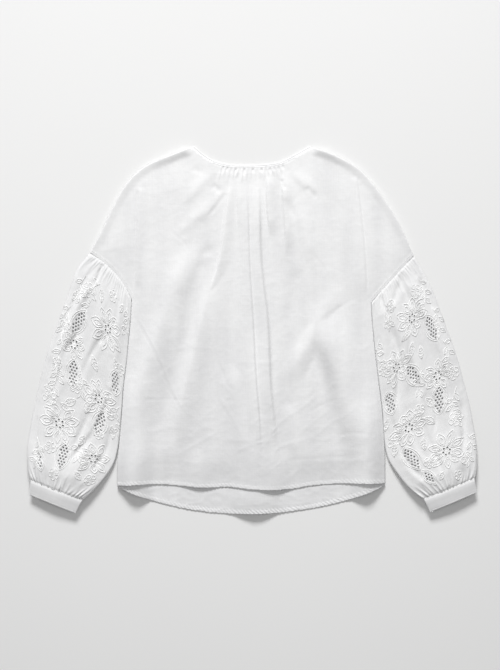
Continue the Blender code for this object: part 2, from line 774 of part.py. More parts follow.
def add_sleeve(sleeve, collection):
    """Both halves of one sleeve."""
    under = SheetPlan(sleeve_outline())
    for back_from_cuff in (0.2, 0.45, 0.7, 1.0):
        across = np.linspace(0, SLEEVE_WIDTH, 9)[1:-1]
        rows = np.full(len(across), SLEEVE_LENGTH - back_from_cuff * SLEEVE_LIFT_LENGTH)
        under.add_points(np.column_stack([rows, across]), LIFT_SPACE)
    under.fill(UNDER_STEP, 0.45 * UNDER_STEP)
    add_sheet(f"sleeve_{sleeve.name}_under", under, under_place(sleeve), collection)

    top = SheetPlan(sleeve_outline())
    add_cutwork(top, sleeve)
    seam = list(end_gather_lines(0.0, 1, SEAM_GATHER_COUNT, SEAM_GATHER_LENGTH))
    cuff = list(end_gather_lines(SLEEVE_LENGTH, -1, CUFF_GATHER_COUNT, CUFF_GATHER_LENGTH))
    for lines in (seam, cuff):
        to_trough = (0, SLEEVE_WIDTH / (2 * len(lines)))
        for line in lines:
            halfway = (line[0] + line[1]) / 2
            top.add_points([halfway, line[1], line[2]], GATHER_SPACE)
            top.add_points([halfway + to_trough, line[1] + to_trough], GATHER_SPACE)
    top.add_folds(sleeve.folds, FOLD_SPACE)
    top.fill(SLEEVE_STEP, FILL_SPACE * SLEEVE_STEP)
    add_sheet(f"sleeve_{sleeve.name}_top", top, top_place(sleeve), collection)


def flat_ring(width, thickness, corners):
    """Section of a ring pressed flat, with half-round ends: across and up from its underside's middle."""
    radius = thickness / 2
    run = np.linspace(-width / 2 + radius, width / 2 - radius, corners)
    turns = np.linspace(-math.pi / 2, math.pi / 2, 5)[1:-1]
    right = np.column_stack([width / 2 - radius + radius * np.cos(turns), radius + radius * np.sin(turns)])
    left = right[::-1] * (-1, 1)
    bottom = np.column_stack([run, np.zeros(corners)])
    top = np.column_stack([run[::-1], np.full(corners, thickness)])
    return np.concatenate([bottom, right, top, left])


def add_cuff(sleeve, collection):
    """A cuff: a ring pressed flat that continues the sleeve's end."""
    near_outer, near_inner, far_inner, far_outer = to_array(sleeve.cuff)
    tube = bmesh.new()
    loops = []
    for part in (0.0, 0.5, 1.0):
        outer = near_outer + part * (far_outer - near_outer)
        inner = near_inner + part * (far_inner - near_inner)
        if part == 0.0:
            way = (far_outer - near_outer + far_inner - near_inner) / 2
            shift = CUFF_GAP * way / np.linalg.norm(way)
            outer = outer + shift
            inner = inner + shift
        width = np.linalg.norm(inner - outer)
        section = flat_ring(width, CUFF_THICKNESS, CUFF_CORNERS)
        across = (inner - outer) / width
        ground = (outer + inner) / 2 + section[:, :1] * across
        rise = cuff_rise(0.5 + section[:, 0] / width) - (CUFF_THICKNESS - WALL - LAYER) / 2
        loop = np.column_stack([ground, rise + section[:, 1]])
        loops.append([tube.verts.new(Vector(point) * METRES) for point in loop])
    for this, following in zip(loops, loops[1:]):
        for corner in range(len(this)):
            after = (corner + 1) % len(this)
            tube.faces.new((this[corner], this[after], following[after], following[corner]))
    bmesh.ops.recalc_face_normals(tube, faces=tube.faces[:])
    mesh = bpy.data.meshes.new(f"cuff_{sleeve.name}")
    tube.to_mesh(mesh)
    tube.free()
    cuff = add_object(f"cuff_{sleeve.name}", mesh, collection)
    wall = cuff.modifiers.new("wall", "SOLIDIFY")
    wall.thickness = CUFF_WALL * METRES
    wall.offset = -1.0
    wall.use_even_offset = True
    return cuff


def main():
    for old in list(bpy.data.objects):
        bpy.data.objects.remove(old)
    blouse = bpy.data.collections.new("embroidered_blouse")
    bpy.context.scene.collection.children.link(blouse)
    add_body(blouse)
    add_neck_binding(blouse)
    for sleeve in (LEFT_SLEEVE, RIGHT_SLEEVE):
        add_sleeve(sleeve, blouse)
        add_cuff(sleeve, blouse)


main()
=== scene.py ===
"""Looks of a whitework cotton blouse laid flat, front side up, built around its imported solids.

X runs across the blouse, +Y towards the neck and Z up from the surface that it lies on. Left and
right are the sides seen from above. Tables and sizes are in millimetres, and the meshes are made
in metres. A sleeve and what is sewn on it are planned on the straightened sleeve, where the first
number runs along it from the armhole seam to the cuff and the second across it from its outer edge.
"""

import logging
import math
from dataclasses import dataclass, field, replace
from enum import Enum
from typing import Any, Callable, Iterator, Optional, Sequence

import bpy
import numpy as np
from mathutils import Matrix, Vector
from mathutils.geometry import delaunay_2d_cdt
from mathutils.kdtree import KDTree

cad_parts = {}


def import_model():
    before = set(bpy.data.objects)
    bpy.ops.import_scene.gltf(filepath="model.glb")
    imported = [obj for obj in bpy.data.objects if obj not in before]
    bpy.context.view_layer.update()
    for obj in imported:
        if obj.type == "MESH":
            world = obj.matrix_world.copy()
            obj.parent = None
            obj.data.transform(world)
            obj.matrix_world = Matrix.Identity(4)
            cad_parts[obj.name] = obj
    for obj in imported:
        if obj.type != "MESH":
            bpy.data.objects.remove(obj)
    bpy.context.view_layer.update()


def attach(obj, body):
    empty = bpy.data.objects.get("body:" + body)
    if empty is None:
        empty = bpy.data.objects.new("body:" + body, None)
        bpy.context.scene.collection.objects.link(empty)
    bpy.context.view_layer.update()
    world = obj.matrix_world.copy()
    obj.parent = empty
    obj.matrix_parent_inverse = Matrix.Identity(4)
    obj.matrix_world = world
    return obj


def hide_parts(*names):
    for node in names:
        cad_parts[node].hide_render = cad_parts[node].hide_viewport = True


LOG = logging.getLogger("blouse")

METRES = 0.001
BODY = "root"

WALL = 1.4
SEAM_GAP = 0.3
LAYER = WALL + SEAM_GAP
CLOTH = 0.45
EDGE_TOP = 0.95
BINDING_WIDTH = 5.0
SIDE_GAP = 0.5
MIDDLE = 3.0
SLEEVE_LENGTH = 400.0
SLEEVE_WIDTH = 150.0
CUFF_LIFT = 9.0
CUFF_BOW = 2.5

Pair = tuple[float, float]
Table = Sequence[Pair]
Place = Callable[[np.ndarray], np.ndarray]

NECK_EDGE: Table = (
    (-104, 330), (-88, 316), (-68, 304), (-44, 297.5), (-9, 296), (31, 298), (52, 302.5), (74, 313),
    (90, 322), (104, 330),
)
LEFT_SHOULDER: Table = (
    (-112, 327.5), (-154, 311), (-185, 298), (-212, 278), (-232, 253), (-254, 213), (-276, 166),
    (-291.5, 138.5),
)
LEFT_SEAM: Table = (
    (-291.5, 138.5), (-272, 125), (-253, 109), (-238, 92), (-226, 74), (-216, 54),
)
LEFT_SIDE: Table = (
    (-216, 54), (-218, 18), (-222, -24), (-226, -65), (-230, -95), (-234, -154), (-238, -200),
    (-241.5, -236), (-242, -280),
)
RIGHT_SHOULDER: Table = (
    (112, 327.5), (139, 318), (169, 304), (194, 288), (213, 268), (233, 242), (254, 210),
    (272, 176), (291, 133),
)
RIGHT_SEAM: Table = ((291, 133), (254, 93), (214, 48))
RIGHT_SIDE: Table = (
    (214, 48), (217, 5), (221, -36), (228, -96), (234, -148), (238, -207), (239, -276),
)
FRONT_HEM: Table = (
    (-242, -280), (-173, -278), (-123, -281), (-95, -284), (-38, -283), (5, -287), (40, -288),
    (72, -286), (111, -280), (153, -277), (239, -276),
)
BACK_HEM: Table = (
    (-242, -282), (-194, -302), (-123, -321), (-67, -329), (-3, -331), (54, -328.5), (90, -324),
    (143, -314), (196, -298), (239, -280),
)


def smooth(part: np.ndarray) -> np.ndarray:
    """Rises from 0 to 1 with level ends."""
    part = np.clip(part, 0.0, 1.0)
    return part * part * (3 - 2 * part)


def fading(distance: np.ndarray, reach: float) -> np.ndarray:
    """Falls from 1 to 0 over a reach, with level ends."""
    return 1 - smooth(distance / reach)


def bell(distance: np.ndarray, width: float | np.ndarray) -> np.ndarray:
    """Falls on both sides of 0 from 1 to about a third at the width."""
    return np.exp(-((distance / width) ** 2))


def soft_floor(height: np.ndarray, bend: float) -> np.ndarray:
    """Keeps heights above 0, turning over a bend of that size."""
    return 0.5 * (height + np.sqrt(height**2 + bend**2))


def lengths_along(line: np.ndarray) -> np.ndarray:
    """Length of a line up to each of its points."""
    return np.concatenate([[0.0], np.cumsum(np.linalg.norm(np.diff(line, axis=0), axis=1))])


def read_line(line: np.ndarray, part: np.ndarray) -> np.ndarray:
    """Points of a line at parts of its length, from 0 to 1.

    Args:
        line: The line's points.
        part: Parts of its length.

    Returns:
        The points there.
    """
    lengths = lengths_along(line)
    wanted = part * lengths[-1]
    return np.column_stack([np.interp(wanted, lengths, line[:, axis]) for axis in (0, 1)])


def curve(table: Table, step: Optional[float] = None, count: int = 2) -> np.ndarray:
    """Smooth curve through a table's points, evenly spaced.

    Args:
        table: The points that it passes through.
        step: About how far apart its own points lie, or nothing to go by the count.
        count: How many points it has where no step is given.

    Returns:
        Its points as rows.
    """
    knots = np.array(table, dtype=float)
    times = lengths_along(knots)
    slopes = np.gradient(knots, times, axis=0)
    fine = np.linspace(0.0, times[-1], 12 * len(knots))
    left = np.clip(np.searchsorted(times, fine, side="right") - 1, 0, len(times) - 2)
    span = (times[left + 1] - times[left])[:, None]
    part = (fine - times[left])[:, None] / span
    start = (1 + 2 * part) * (1 - part) ** 2 * knots[left] + part * (1 - part) ** 2 * span * slopes[left]
    end = part**2 * (3 - 2 * part) * knots[left + 1] + part**2 * (part - 1) * span * slopes[left + 1]
    dense = start + end
    if step is not None:
        count = max(2, round(lengths_along(dense)[-1] / step) + 1)
    return read_line(dense, np.linspace(0.0, 1.0, count))


def unit(vector: np.ndarray) -> np.ndarray:
    """A vector made one long."""
    return vector / np.linalg.norm(vector)


def headings(line: np.ndarray) -> np.ndarray:
    """Direction of travel at each point of a line, one long."""
    along = np.gradient(line, axis=0)
    return along / np.maximum(np.linalg.norm(along, axis=1), 1e-9)[:, None]


def offset(line: np.ndarray, distance: float) -> np.ndarray:
    """A line moved sideways, to its right where distance is positive."""
    along = headings(line)
    return line + distance * np.column_stack([along[:, 1], -along[:, 0]])


def turned(points: np.ndarray, degrees: float) -> np.ndarray:
    """Points turned counterclockwise about the origin.

    Args:
        points: Points of the plan.
        degrees: How far they turn.

    Returns:
        The turned points.
    """
    angle = math.radians(degrees)
    spin = np.array([(math.cos(angle), math.sin(angle)), (-math.sin(angle), math.cos(angle))])
    return np.asarray(points, dtype=float) @ spin


def degrees_of(way: np.ndarray) -> float:
    """Angle of a direction, counterclockwise from x."""
    return math.degrees(math.atan2(way[1], way[0]))


def nearest(points: np.ndarray, line: np.ndarray) -> tuple[np.ndarray, np.ndarray]:
    """How far points are from an open line.

    Args:
        points: The points to measure from.
        line: The line's points.

    Returns:
        The distance, positive to the right of travel, and the part of the line that lies nearest.
    """
    steps = np.diff(line, axis=0)
    lengths = np.linalg.norm(steps, axis=1)
    before = np.concatenate([[0.0], np.cumsum(lengths)])
    away = points[:, None, :] - line[None, :-1, :]
    part = np.clip((away * steps).sum(axis=2) / (lengths**2), 0.0, 1.0)
    gaps = np.linalg.norm(away - part[:, :, None] * steps, axis=2)
    best = gaps.argmin(axis=1)
    rows = np.arange(len(points))
    over = away[rows, best]
    turn = over[:, 0] * steps[best, 1] - over[:, 1] * steps[best, 0]
    reached = before[best] + part[rows, best] * lengths[best]
    return gaps[rows, best] * np.where(turn < 0, -1.0, 1.0), reached / before[-1]


def inside(points: np.ndarray, ring: np.ndarray) -> np.ndarray:
    """Which points lie inside a closed ring.

    Args:
        points: Points of the plan.
        ring: The ring's points.

    Returns:
        True where a point is inside.
    """
    x, y = points[:, 0], points[:, 1]
    found = np.zeros(len(points), dtype=bool)
    for (x0, y0), (x1, y1) in zip(ring, np.roll(ring, -1, axis=0)):
        if y0 != y1:
            found ^= ((y0 > y) != (y1 > y)) & (x < x0 + (y - y0) * (x1 - x0) / (y1 - y0))
    return found


def noise(points: np.ndarray, cell: Pair, seed: int) -> np.ndarray:
    """Soft noise over a plane.

    Args:
        points: Where it is read.
        cell: Size of one lump, along x and along y.
        seed: Which noise of many.

    Returns:
        Values from -1 to 1.
    """
    size = 64
    grid = np.random.default_rng(seed).uniform(-1.0, 1.0, (size, size))
    place = points[:, :2] / np.array(cell) + 7.3
    low = np.floor(place).astype(int)
    part = smooth(place - low)
    ix, iy = low[:, 0] % size, low[:, 1] % size
    jx, jy = (ix + 1) % size, (iy + 1) % size
    across, up = part[:, 0], part[:, 1]
    lower = grid[ix, iy] * (1 - across) + grid[jx, iy] * across
    upper = grid[ix, jy] * (1 - across) + grid[jx, jy] * across
    return lower * (1 - up) + upper * up


def puckers(points: np.ndarray, cell: Pair, seed: int, power: int) -> np.ndarray:
    """Soft crumples that rise to 1 along thin crests, thinner for a higher power."""
    return (1 - np.abs(noise(points, cell, seed))) ** power


def rows_within(points: np.ndarray, low: np.ndarray, high: np.ndarray) -> np.ndarray:
    """Which rows of points lie inside a box."""
    return np.flatnonzero(np.all((points > low) & (points < high), axis=1))


class Finder:
    """Finds how far points are from a line, where only short distances matter."""

    def __init__(self, line: np.ndarray) -> None:
        """Keeps the line's points in a tree.

        Args:
            line: The line's points.
        """
        self.tree = KDTree(len(line))
        for index, point in enumerate(line):
            self.tree.insert((point[0], point[1], 0.0), index)
        self.tree.balance()

    def distances(self, points: np.ndarray) -> np.ndarray:
        """Distance from each point to the nearest of the line's points."""
        return np.array([self.tree.find((x, y, 0.0))[2] for x, y in points[:, :2]])


@dataclass(frozen=True)
class Crease:
    """A soft ridge of cloth, or a trough where its height is below 0.

    Its line runs from where it starts to where it dies out. A skew below 1 makes the side to the
    right of travel the steeper one.
    """

    height: float
    width: float
    line: Table
    skew: float = 1.0
    start: float = 0.22
    end: float = 0.3

    def rise(self, points: np.ndarray) -> np.ndarray:
        """Height that the crease adds at each point.

        Args:
            points: Points of the plan.

        Returns:
            The height at each point.
        """
        path = curve(self.line, step=6.0)
        reach = 2.6 * self.width * max(self.skew, 1 / self.skew)
        low, high = path.min(axis=0) - reach, path.max(axis=0) + reach
        close = rows_within(points, low, high)
        total = np.zeros(len(points))
        if len(close):
            gap, part = nearest(points[close], path)
            width = np.where(gap > 0, self.width * self.skew, self.width / self.skew)
            ends = smooth(part / self.start) * smooth((1 - part) / self.end)
            total[close] = self.height * ends * bell(gap, width)
        return total


@dataclass(frozen=True)
class Lift:
    """A wave of a hem that stands off what the hem lies on."""

    x: float
    half_width: float
    height: float
    reach: float
    level: float = 0.0


def lift_heights(points: np.ndarray, lifts: Sequence[Lift], hem: Table) -> np.ndarray:
    """Height to which the waves of a hem lift the cloth.

    Args:
        points: Points of the plan.
        lifts: The waves.
        hem: The hem that they lift.

    Returns:
        The height at each point.
    """
    line = curve(hem, step=15.0)
    order = line[:, 0].argsort()
    above = points[:, 1] - np.interp(points[:, 0], line[order, 0], line[order, 1])
    total = np.zeros(len(points))
    for lift in lifts:
        near = smooth(1 - np.abs(points[:, 0] - lift.x) / (2 * lift.half_width))
        total += lift.height * near * smooth((lift.reach - above) / (lift.reach - lift.level))
    return total


def together(points: np.ndarray, creases: Sequence[Crease], join: np.ufunc) -> np.ndarray:
    """Height of several creases: np.maximum keeps the highest, np.add puts one on another.

    Args:
        points: Points of the plan.
        creases: The creases.
        join: How two heights become one.

    Returns:
        The height at each point.
    """
    total = np.zeros(len(points))
    for crease in creases:
        total = join(total, crease.rise(points))
    return total


class SheetPlan:
    """Flat plan of a sheet: its outline, the gaps cut in it and a lattice of points that fills it."""

    def __init__(self, outline: np.ndarray) -> None:
        """Starts a plan from its closed outline.

        Args:
            outline: The outline's points.
        """
        self.outline = outline
        self.points = [outline]
        self.edges = [(i, (i + 1) % len(outline)) for i in range(len(outline))]
        self.gaps: list[np.ndarray] = []

    def add_gap(self, ring: np.ndarray) -> None:
        """Cuts a gap whose edge is the ring.

        Args:
            ring: The ring's points.
        """
        first = sum(len(points) for points in self.points)
        self.gaps.append(ring)
        self.points.append(ring)
        self.edges += [(first + i, first + (i + 1) % len(ring)) for i in range(len(ring))]

    def in_gap(self, points: np.ndarray) -> np.ndarray:
        """Which points lie in a gap.

        Args:
            points: Points of the plan.

        Returns:
            True where a point is in a gap.
        """
        found = np.zeros(len(points), dtype=bool)
        for ring in self.gaps:
            rows = rows_within(points, ring.min(axis=0), ring.max(axis=0))
            if len(rows):
                found[rows] |= inside(points[rows], ring)
        return found

    def near_gap(self, points: np.ndarray, reach: float) -> np.ndarray:
        """Which points lie within reach of a gap's edge."""
        return Finder(np.concatenate(self.gaps)).distances(points) < reach

    def fill(self, step: float, fine: Callable[[np.ndarray], np.ndarray]) -> None:
        """Fills the plan with an even lattice.

        Args:
            step: Spacing of the coarse lattice. The fine one's is half of it.
            fine: Tells which points lie where the fine lattice is needed.
        """
        half = step / 2
        low, high = self.outline.min(axis=0), self.outline.max(axis=0)
        rows = int((high[1] - low[1]) / (half * math.sqrt(0.75))) + 2
        columns = int((high[0] - low[0]) / half) + 2
        row, column = (grid.ravel() for grid in np.mgrid[0:rows, 0:columns])
        x = low[0] + half * (column + 0.5 * (row % 2))
        y = low[1] + half * math.sqrt(0.75) * row
        lattice = np.column_stack([x, y])
        coarse = (row % 2 == 0) & ((column + row // 2) % 2 == 0)
        keep = inside(lattice, self.outline)
        lattice, coarse = lattice[keep], coarse[keep]
        close = fine(lattice)
        keep = (coarse | close) & ~self.in_gap(lattice)
        lattice, close = lattice[keep], close[keep]
        held = Finder(np.concatenate(self.points))
        clear = held.distances(lattice) > 0.55 * np.where(close, half, step)
        self.points.append(lattice[clear])

    def triangles(self) -> tuple[np.ndarray, np.ndarray]:
        """The plan's points and triangles, without those in gaps or outside the outline.

        Returns:
            The points and the corner numbers of the triangles.
        """
        corners = [Vector(point) for point in np.concatenate(self.points)]
        made = delaunay_2d_cdt(corners, self.edges, [], 0, 1e-5)
        points = np.array([tuple(point) for point in made[0]])
        faces = np.array([face for face in made[2] if len(face) == 3])
        centres = points[faces].mean(axis=1)
        faces = faces[inside(centres, self.outline) & ~self.in_gap(centres)]
        used, renamed = np.unique(faces, return_inverse=True)
        return points[used], renamed.reshape(faces.shape)


def add_mesh(name: str, points: np.ndarray, faces: list, plan: np.ndarray) -> bpy.types.Object:
    """Makes an object from points in millimetres.

    Args:
        name: Its name.
        points: Its corners.
        faces: The corners of each face.
        plan: Where each corner lies on the flat cloth or along its thread, for the finish.

    Returns:
        The object, shaded smooth.
    """
    mesh = bpy.data.meshes.new(name)
    mesh.from_pydata(points * METRES, [], faces)
    rows = np.zeros((len(points), 3), dtype=np.float32)
    rows[:, : plan.shape[1]] = plan
    mesh.attributes.new("cloth", "FLOAT_VECTOR", "POINT").data.foreach_set("vector", rows.ravel())
    mesh.shade_smooth()
    mesh.update()
    made = bpy.data.objects.new(name, mesh)
    bpy.context.scene.collection.objects.link(made)
    return made


def tube_faces(rings: np.ndarray) -> list[tuple[int, ...]]:
    """Faces between neighbouring rings of corner numbers, each ring a row that closes on itself.

    Args:
        rings: The corner numbers.

    Returns:
        The faces, four corner numbers each.
    """
    after = np.roll(rings, -1, axis=1)
    quads = np.stack([rings[:-1], after[:-1], after[1:], rings[1:]], axis=-1)
    return [tuple(quad) for quad in quads.reshape(-1, 4).tolist()]


@dataclass
class Shell:
    """A thin wall of cloth: triangles over a plan, placed as its upper face and thickened downwards."""

    top: np.ndarray
    faces: np.ndarray
    plan: np.ndarray
    thickness: float

    def __post_init__(self) -> None:
        """Turns the faces so that they look up."""
        a, b, c = (self.top[self.faces[:, corner], :2] for corner in range(3))
        area = (b[:, 0] - a[:, 0]) * (c[:, 1] - a[:, 1]) - (b[:, 1] - a[:, 1]) * (c[:, 0] - a[:, 0])
        if area.sum() < 0:
            self.faces = self.faces[:, ::-1]

    def closed(self, first: int) -> tuple[np.ndarray, list, np.ndarray]:
        """The wall as one closed body.

        Args:
            first: Number of its first corner in the mesh that takes it.

        Returns:
            Its corners, its faces and where each corner lies on the plan.
        """
        count = len(self.top)
        under = self.top - (0.0, 0.0, self.thickness)
        ways = np.concatenate([self.faces[:, (0, 1)], self.faces[:, (1, 2)], self.faces[:, (2, 0)]])
        codes = ways[:, 0] * count + ways[:, 1]
        edge = ways[~np.isin(codes, ways[:, 1] * count + ways[:, 0])]
        walls = np.column_stack([edge[:, 0], edge[:, 0] + count, edge[:, 1] + count, edge[:, 1]])
        faces = [*(self.faces + first).tolist(), *(self.faces[:, ::-1] + count + first).tolist()]
        faces += (walls + first).tolist()
        return np.concatenate([self.top, under]), faces, np.concatenate([self.plan, self.plan])


def add_shells(name: str, shells: Sequence[Shell]) -> bpy.types.Object:
    """Makes one object of several walls of cloth.

    Args:
        name: Its name.
        shells: The walls.

    Returns:
        The object.
    """
    corners: list[np.ndarray] = []
    faces: list = []
    plans: list[np.ndarray] = []
    for shell in shells:
        made = shell.closed(sum(len(part) for part in corners))
        corners.append(made[0])
        faces += made[1]
        plans.append(made[2])
    return add_mesh(name, np.concatenate(corners), faces, np.concatenate(plans))


@dataclass
class Stroke:
    """One raised line of thread: where it runs, how wide it is and how high it stands."""

    line: np.ndarray
    half_width: np.ndarray
    height: float
    closed: bool = False


class Threads:
    """Gathers strokes of thread and lays them on a piece as one mesh."""

    section = ((-1.0, -0.4), (-0.62, 0.66), (0.0, 1.0), (0.62, 0.66), (1.0, -0.4))

    def __init__(self) -> None:
        """Starts with no strokes."""
        self.strokes: list[Stroke] = []

    def run(
        self,
        line: np.ndarray,
        half_width: float | np.ndarray,
        height: float,
        closed: bool = False,
    ) -> None:
        """Adds one stroke along a line of the plan."""
        widths = np.broadcast_to(np.asarray(half_width, dtype=float), (len(line),))
        self.strokes.append(Stroke(np.asarray(line, dtype=float), widths, height, closed))

    def lay(self, name: str, place: Place) -> bpy.types.Object:
        """Makes the mesh.

        Args:
            name: Name of the object.
            place: Puts points of the plan on the upper face of what carries the thread.

        Returns:
            The object.
        """
        sides = len(self.section)
        flat, lifts, plans, faces = [], [], [], []
        first = 0
        for stroke in self.strokes:
            line = stroke.line
            if stroke.closed:
                looped = np.concatenate([line[-1:], line, line[:1]])
                along = headings(looped)[1:-1]
            else:
                along = headings(line)
            across = np.column_stack([along[:, 1], -along[:, 0]])
            travel = lengths_along(line)
            for side, up in self.section:
                flat.append(line + side * stroke.half_width[:, None] * across)
                lifts.append(np.full(len(line), up * stroke.height))
                plans.append(np.column_stack([travel, np.full(len(line), side)]))
            count = len(line)
            numbers = first + np.arange(count * sides).reshape(sides, count).T
            rings = np.concatenate([numbers, numbers[:1]]) if stroke.closed else numbers
            faces += tube_faces(rings)
            if not stroke.closed:
                faces += [tuple(rings[0][::-1].tolist()), tuple(rings[-1].tolist())]
            first += count * sides
        points = place(np.concatenate(flat))
        points[:, 2] += np.concatenate(lifts)
        return add_mesh(name, points, faces, np.concatenate(plans))


@dataclass(frozen=True)
class StitchRow:
    """A row of short stitches, each slimmer at both ends."""

    length: float = 2.1
    pitch: float = 3.0
    half: float = 0.32
    end_half: float = 0.2
    height: float = 0.3

    def sew(self, thread: Threads, line: np.ndarray) -> None:
        """Adds the stitches along a line to a piece's threads.

        Args:
            thread: Where the stitches go.
            line: The line's points.
        """
        total = lengths_along(line)[-1]
        count = max(1, int(total / self.pitch))
        for index in range(count):
            start = (index + 0.5) * total / count
            parts = (start + np.array([-0.5, 0.0, 0.5]) * self.length) / total
            stitch = read_line(line, np.clip(parts, 0.0, 1.0))
            thread.run(stitch, np.array([self.end_half, self.half, self.end_half]), self.height)


class Wire:
    """A value in a material, with the operators that shader maths is written in."""

    def __init__(self, bench: "Bench", socket: bpy.types.NodeSocket) -> None:
        """Wraps a node's output."""
        self.bench = bench
        self.socket = socket

    def __add__(self, other: Any) -> "Wire":
        """This plus another."""
        return self.bench.math("ADD", self, other)

    def __radd__(self, other: Any) -> "Wire":
        """Another plus this."""
        return self.bench.math("ADD", other, self)

    def __sub__(self, other: Any) -> "Wire":
        """This less another."""
        return self.bench.math("SUBTRACT", self, other)

    def __rsub__(self, other: Any) -> "Wire":
        """Another less this."""
        return self.bench.math("SUBTRACT", other, self)

    def __mul__(self, other: Any) -> "Wire":
        """This times another."""
        return self.bench.math("MULTIPLY", self, other)

    def __rmul__(self, other: Any) -> "Wire":
        """Another times this."""
        return self.bench.math("MULTIPLY", other, self)


class Bench:
    """Where one material's nodes are put together."""

    def __init__(self, name: str) -> None:
        """Starts a material with its own shader.

        Args:
            name: Its name.
        """
        self.material = bpy.data.materials.new(name)
        self.material.use_nodes = True
        self.tree = self.material.node_tree
        self.shader = self.tree.nodes["Principled BSDF"]

    def node(
        self,
        kind: str,
        settings: Optional[dict[str, Any]] = None,
        sockets: Optional[dict[Any, Any]] = None,
    ) -> bpy.types.Node:
        """Adds a node.

        Args:
            kind: Its type.
            settings: Its own settings, with a ramp's stops under stops.
            sockets: Values or wires of its inputs, by name or number.

        Returns:
            The node.
        """
        made = self.tree.nodes.new(kind)
        for name, value in (settings or {}).items():
            if name == "stops":
                ramp = made.color_ramp
                while len(ramp.elements) < len(value):
                    ramp.elements.new(0.5)
                for element, (position, colour) in zip(ramp.elements, value):
                    element.position = position
                    element.color = colour
            else:
                setattr(made, name, value)
        for key, value in (sockets or {}).items():
            self.feed(made.inputs[key], value)
        return made

    def feed(self, socket: bpy.types.NodeSocket, value: Any) -> None:
        """Sets an input, or links a wire to it.

        Args:
            socket: The input.
            value: A value or a wire.
        """
        if isinstance(value, Wire):
            self.tree.links.new(value.socket, socket)
        else:
            socket.default_value = value

    def wire(self, node: bpy.types.Node, output: Any = 0) -> Wire:
        """A node's output as a wire."""
        return Wire(self, node.outputs[output])

    def math(self, operation: str, first: Any, second: Any = 0.0) -> Wire:
        """A sum, product or the like of two values."""
        return self.wire(self.node("ShaderNodeMath", {"operation": operation}, {0: first, 1: second}))

    def scaled(self, vector: Wire, by: tuple[float, float, float]) -> Wire:
        """A vector, each of its parts times its own number."""
        return self.wire(self.node("ShaderNodeVectorMath", {"operation": "MULTIPLY"}, {0: vector, 1: by}))

    def mixed(self, share: Wire, first: Any, second: Any) -> Wire:
        """A colour between two.

        Args:
            share: How much of the second there is.
            first: The colour at 0.
            second: The colour at 1.

        Returns:
            The colour between.
        """
        made = self.node("ShaderNodeMix", {"data_type": "RGBA"}, {"Factor": share})
        self.feed(made.inputs[6], first)
        self.feed(made.inputs[7], second)
        return self.wire(made, 2)

    def cloth(self) -> Wire:
        """Where a point lies on the flat cloth, in millimetres."""
        return self.wire(self.node("ShaderNodeAttribute", {"attribute_name": "cloth"}), "Vector")

    def grain(self, vector: Wire, by: tuple[float, float, float], detail: float = 2.0) -> Wire:
        """Noise from 0 to 1 along a vector, scaled by three numbers."""
        sockets = {"Vector": self.scaled(vector, by), "Scale": 1.0, "Detail": detail}
        return self.wire(self.node("ShaderNodeTexNoise", {}, sockets))

    def wave(self, vector: Wire, way: str, pitch: float, bend: float) -> Wire:
        """Bands from 0 to 1, each a pitch wide, across a way and bent a little.

        Args:
            vector: What the bands are read from.
            way: The axis that they follow each other along.
            pitch: Width of a band.
            bend: How far they bend.

        Returns:
            The bands.
        """
        settings = {"wave_type": "BANDS", "bands_direction": way, "wave_profile": "SIN"}
        sockets = {"Vector": vector, "Scale": math.pi / (10 * pitch), "Distortion": bend, "Detail": 1.0}
        return self.wire(self.node("ShaderNodeTexWave", settings, sockets))

    def bump(self, height: Wire, strength: float, depth: float) -> Wire:
        """A normal bent by a height from 0 to 1 that stands for a depth in millimetres."""
        sockets = {"Height": height, "Strength": strength, "Distance": depth * METRES}
        return self.wire(self.node("ShaderNodeBump", {}, sockets))

    def dress(
        self,
        varying: dict[str, Any],
        constant: dict[str, Any],
        thin: float = 0.0,
    ) -> bpy.types.Material:
        """Feeds the shader.

        Args:
            varying: Wires for its inputs, by name.
            constant: Values of its inputs, by name.
            thin: Share of the light that passes through, as it does through thin cloth.

        Returns:
            The material.
        """
        for name, value in {**varying, **constant}.items():
            self.feed(self.shader.inputs[name], value)
        if thin:
            glow = self.node("ShaderNodeBsdfTranslucent", {}, {"Color": (0.96, 0.96, 0.96, 1.0)})
            shaders = {0: thin, 1: self.wire(self.shader), 2: self.wire(glow)}
            mixed = self.node("ShaderNodeMixShader", {}, shaders)
            self.feed(self.tree.nodes["Material Output"].inputs["Surface"], self.wire(mixed))
        return self.material


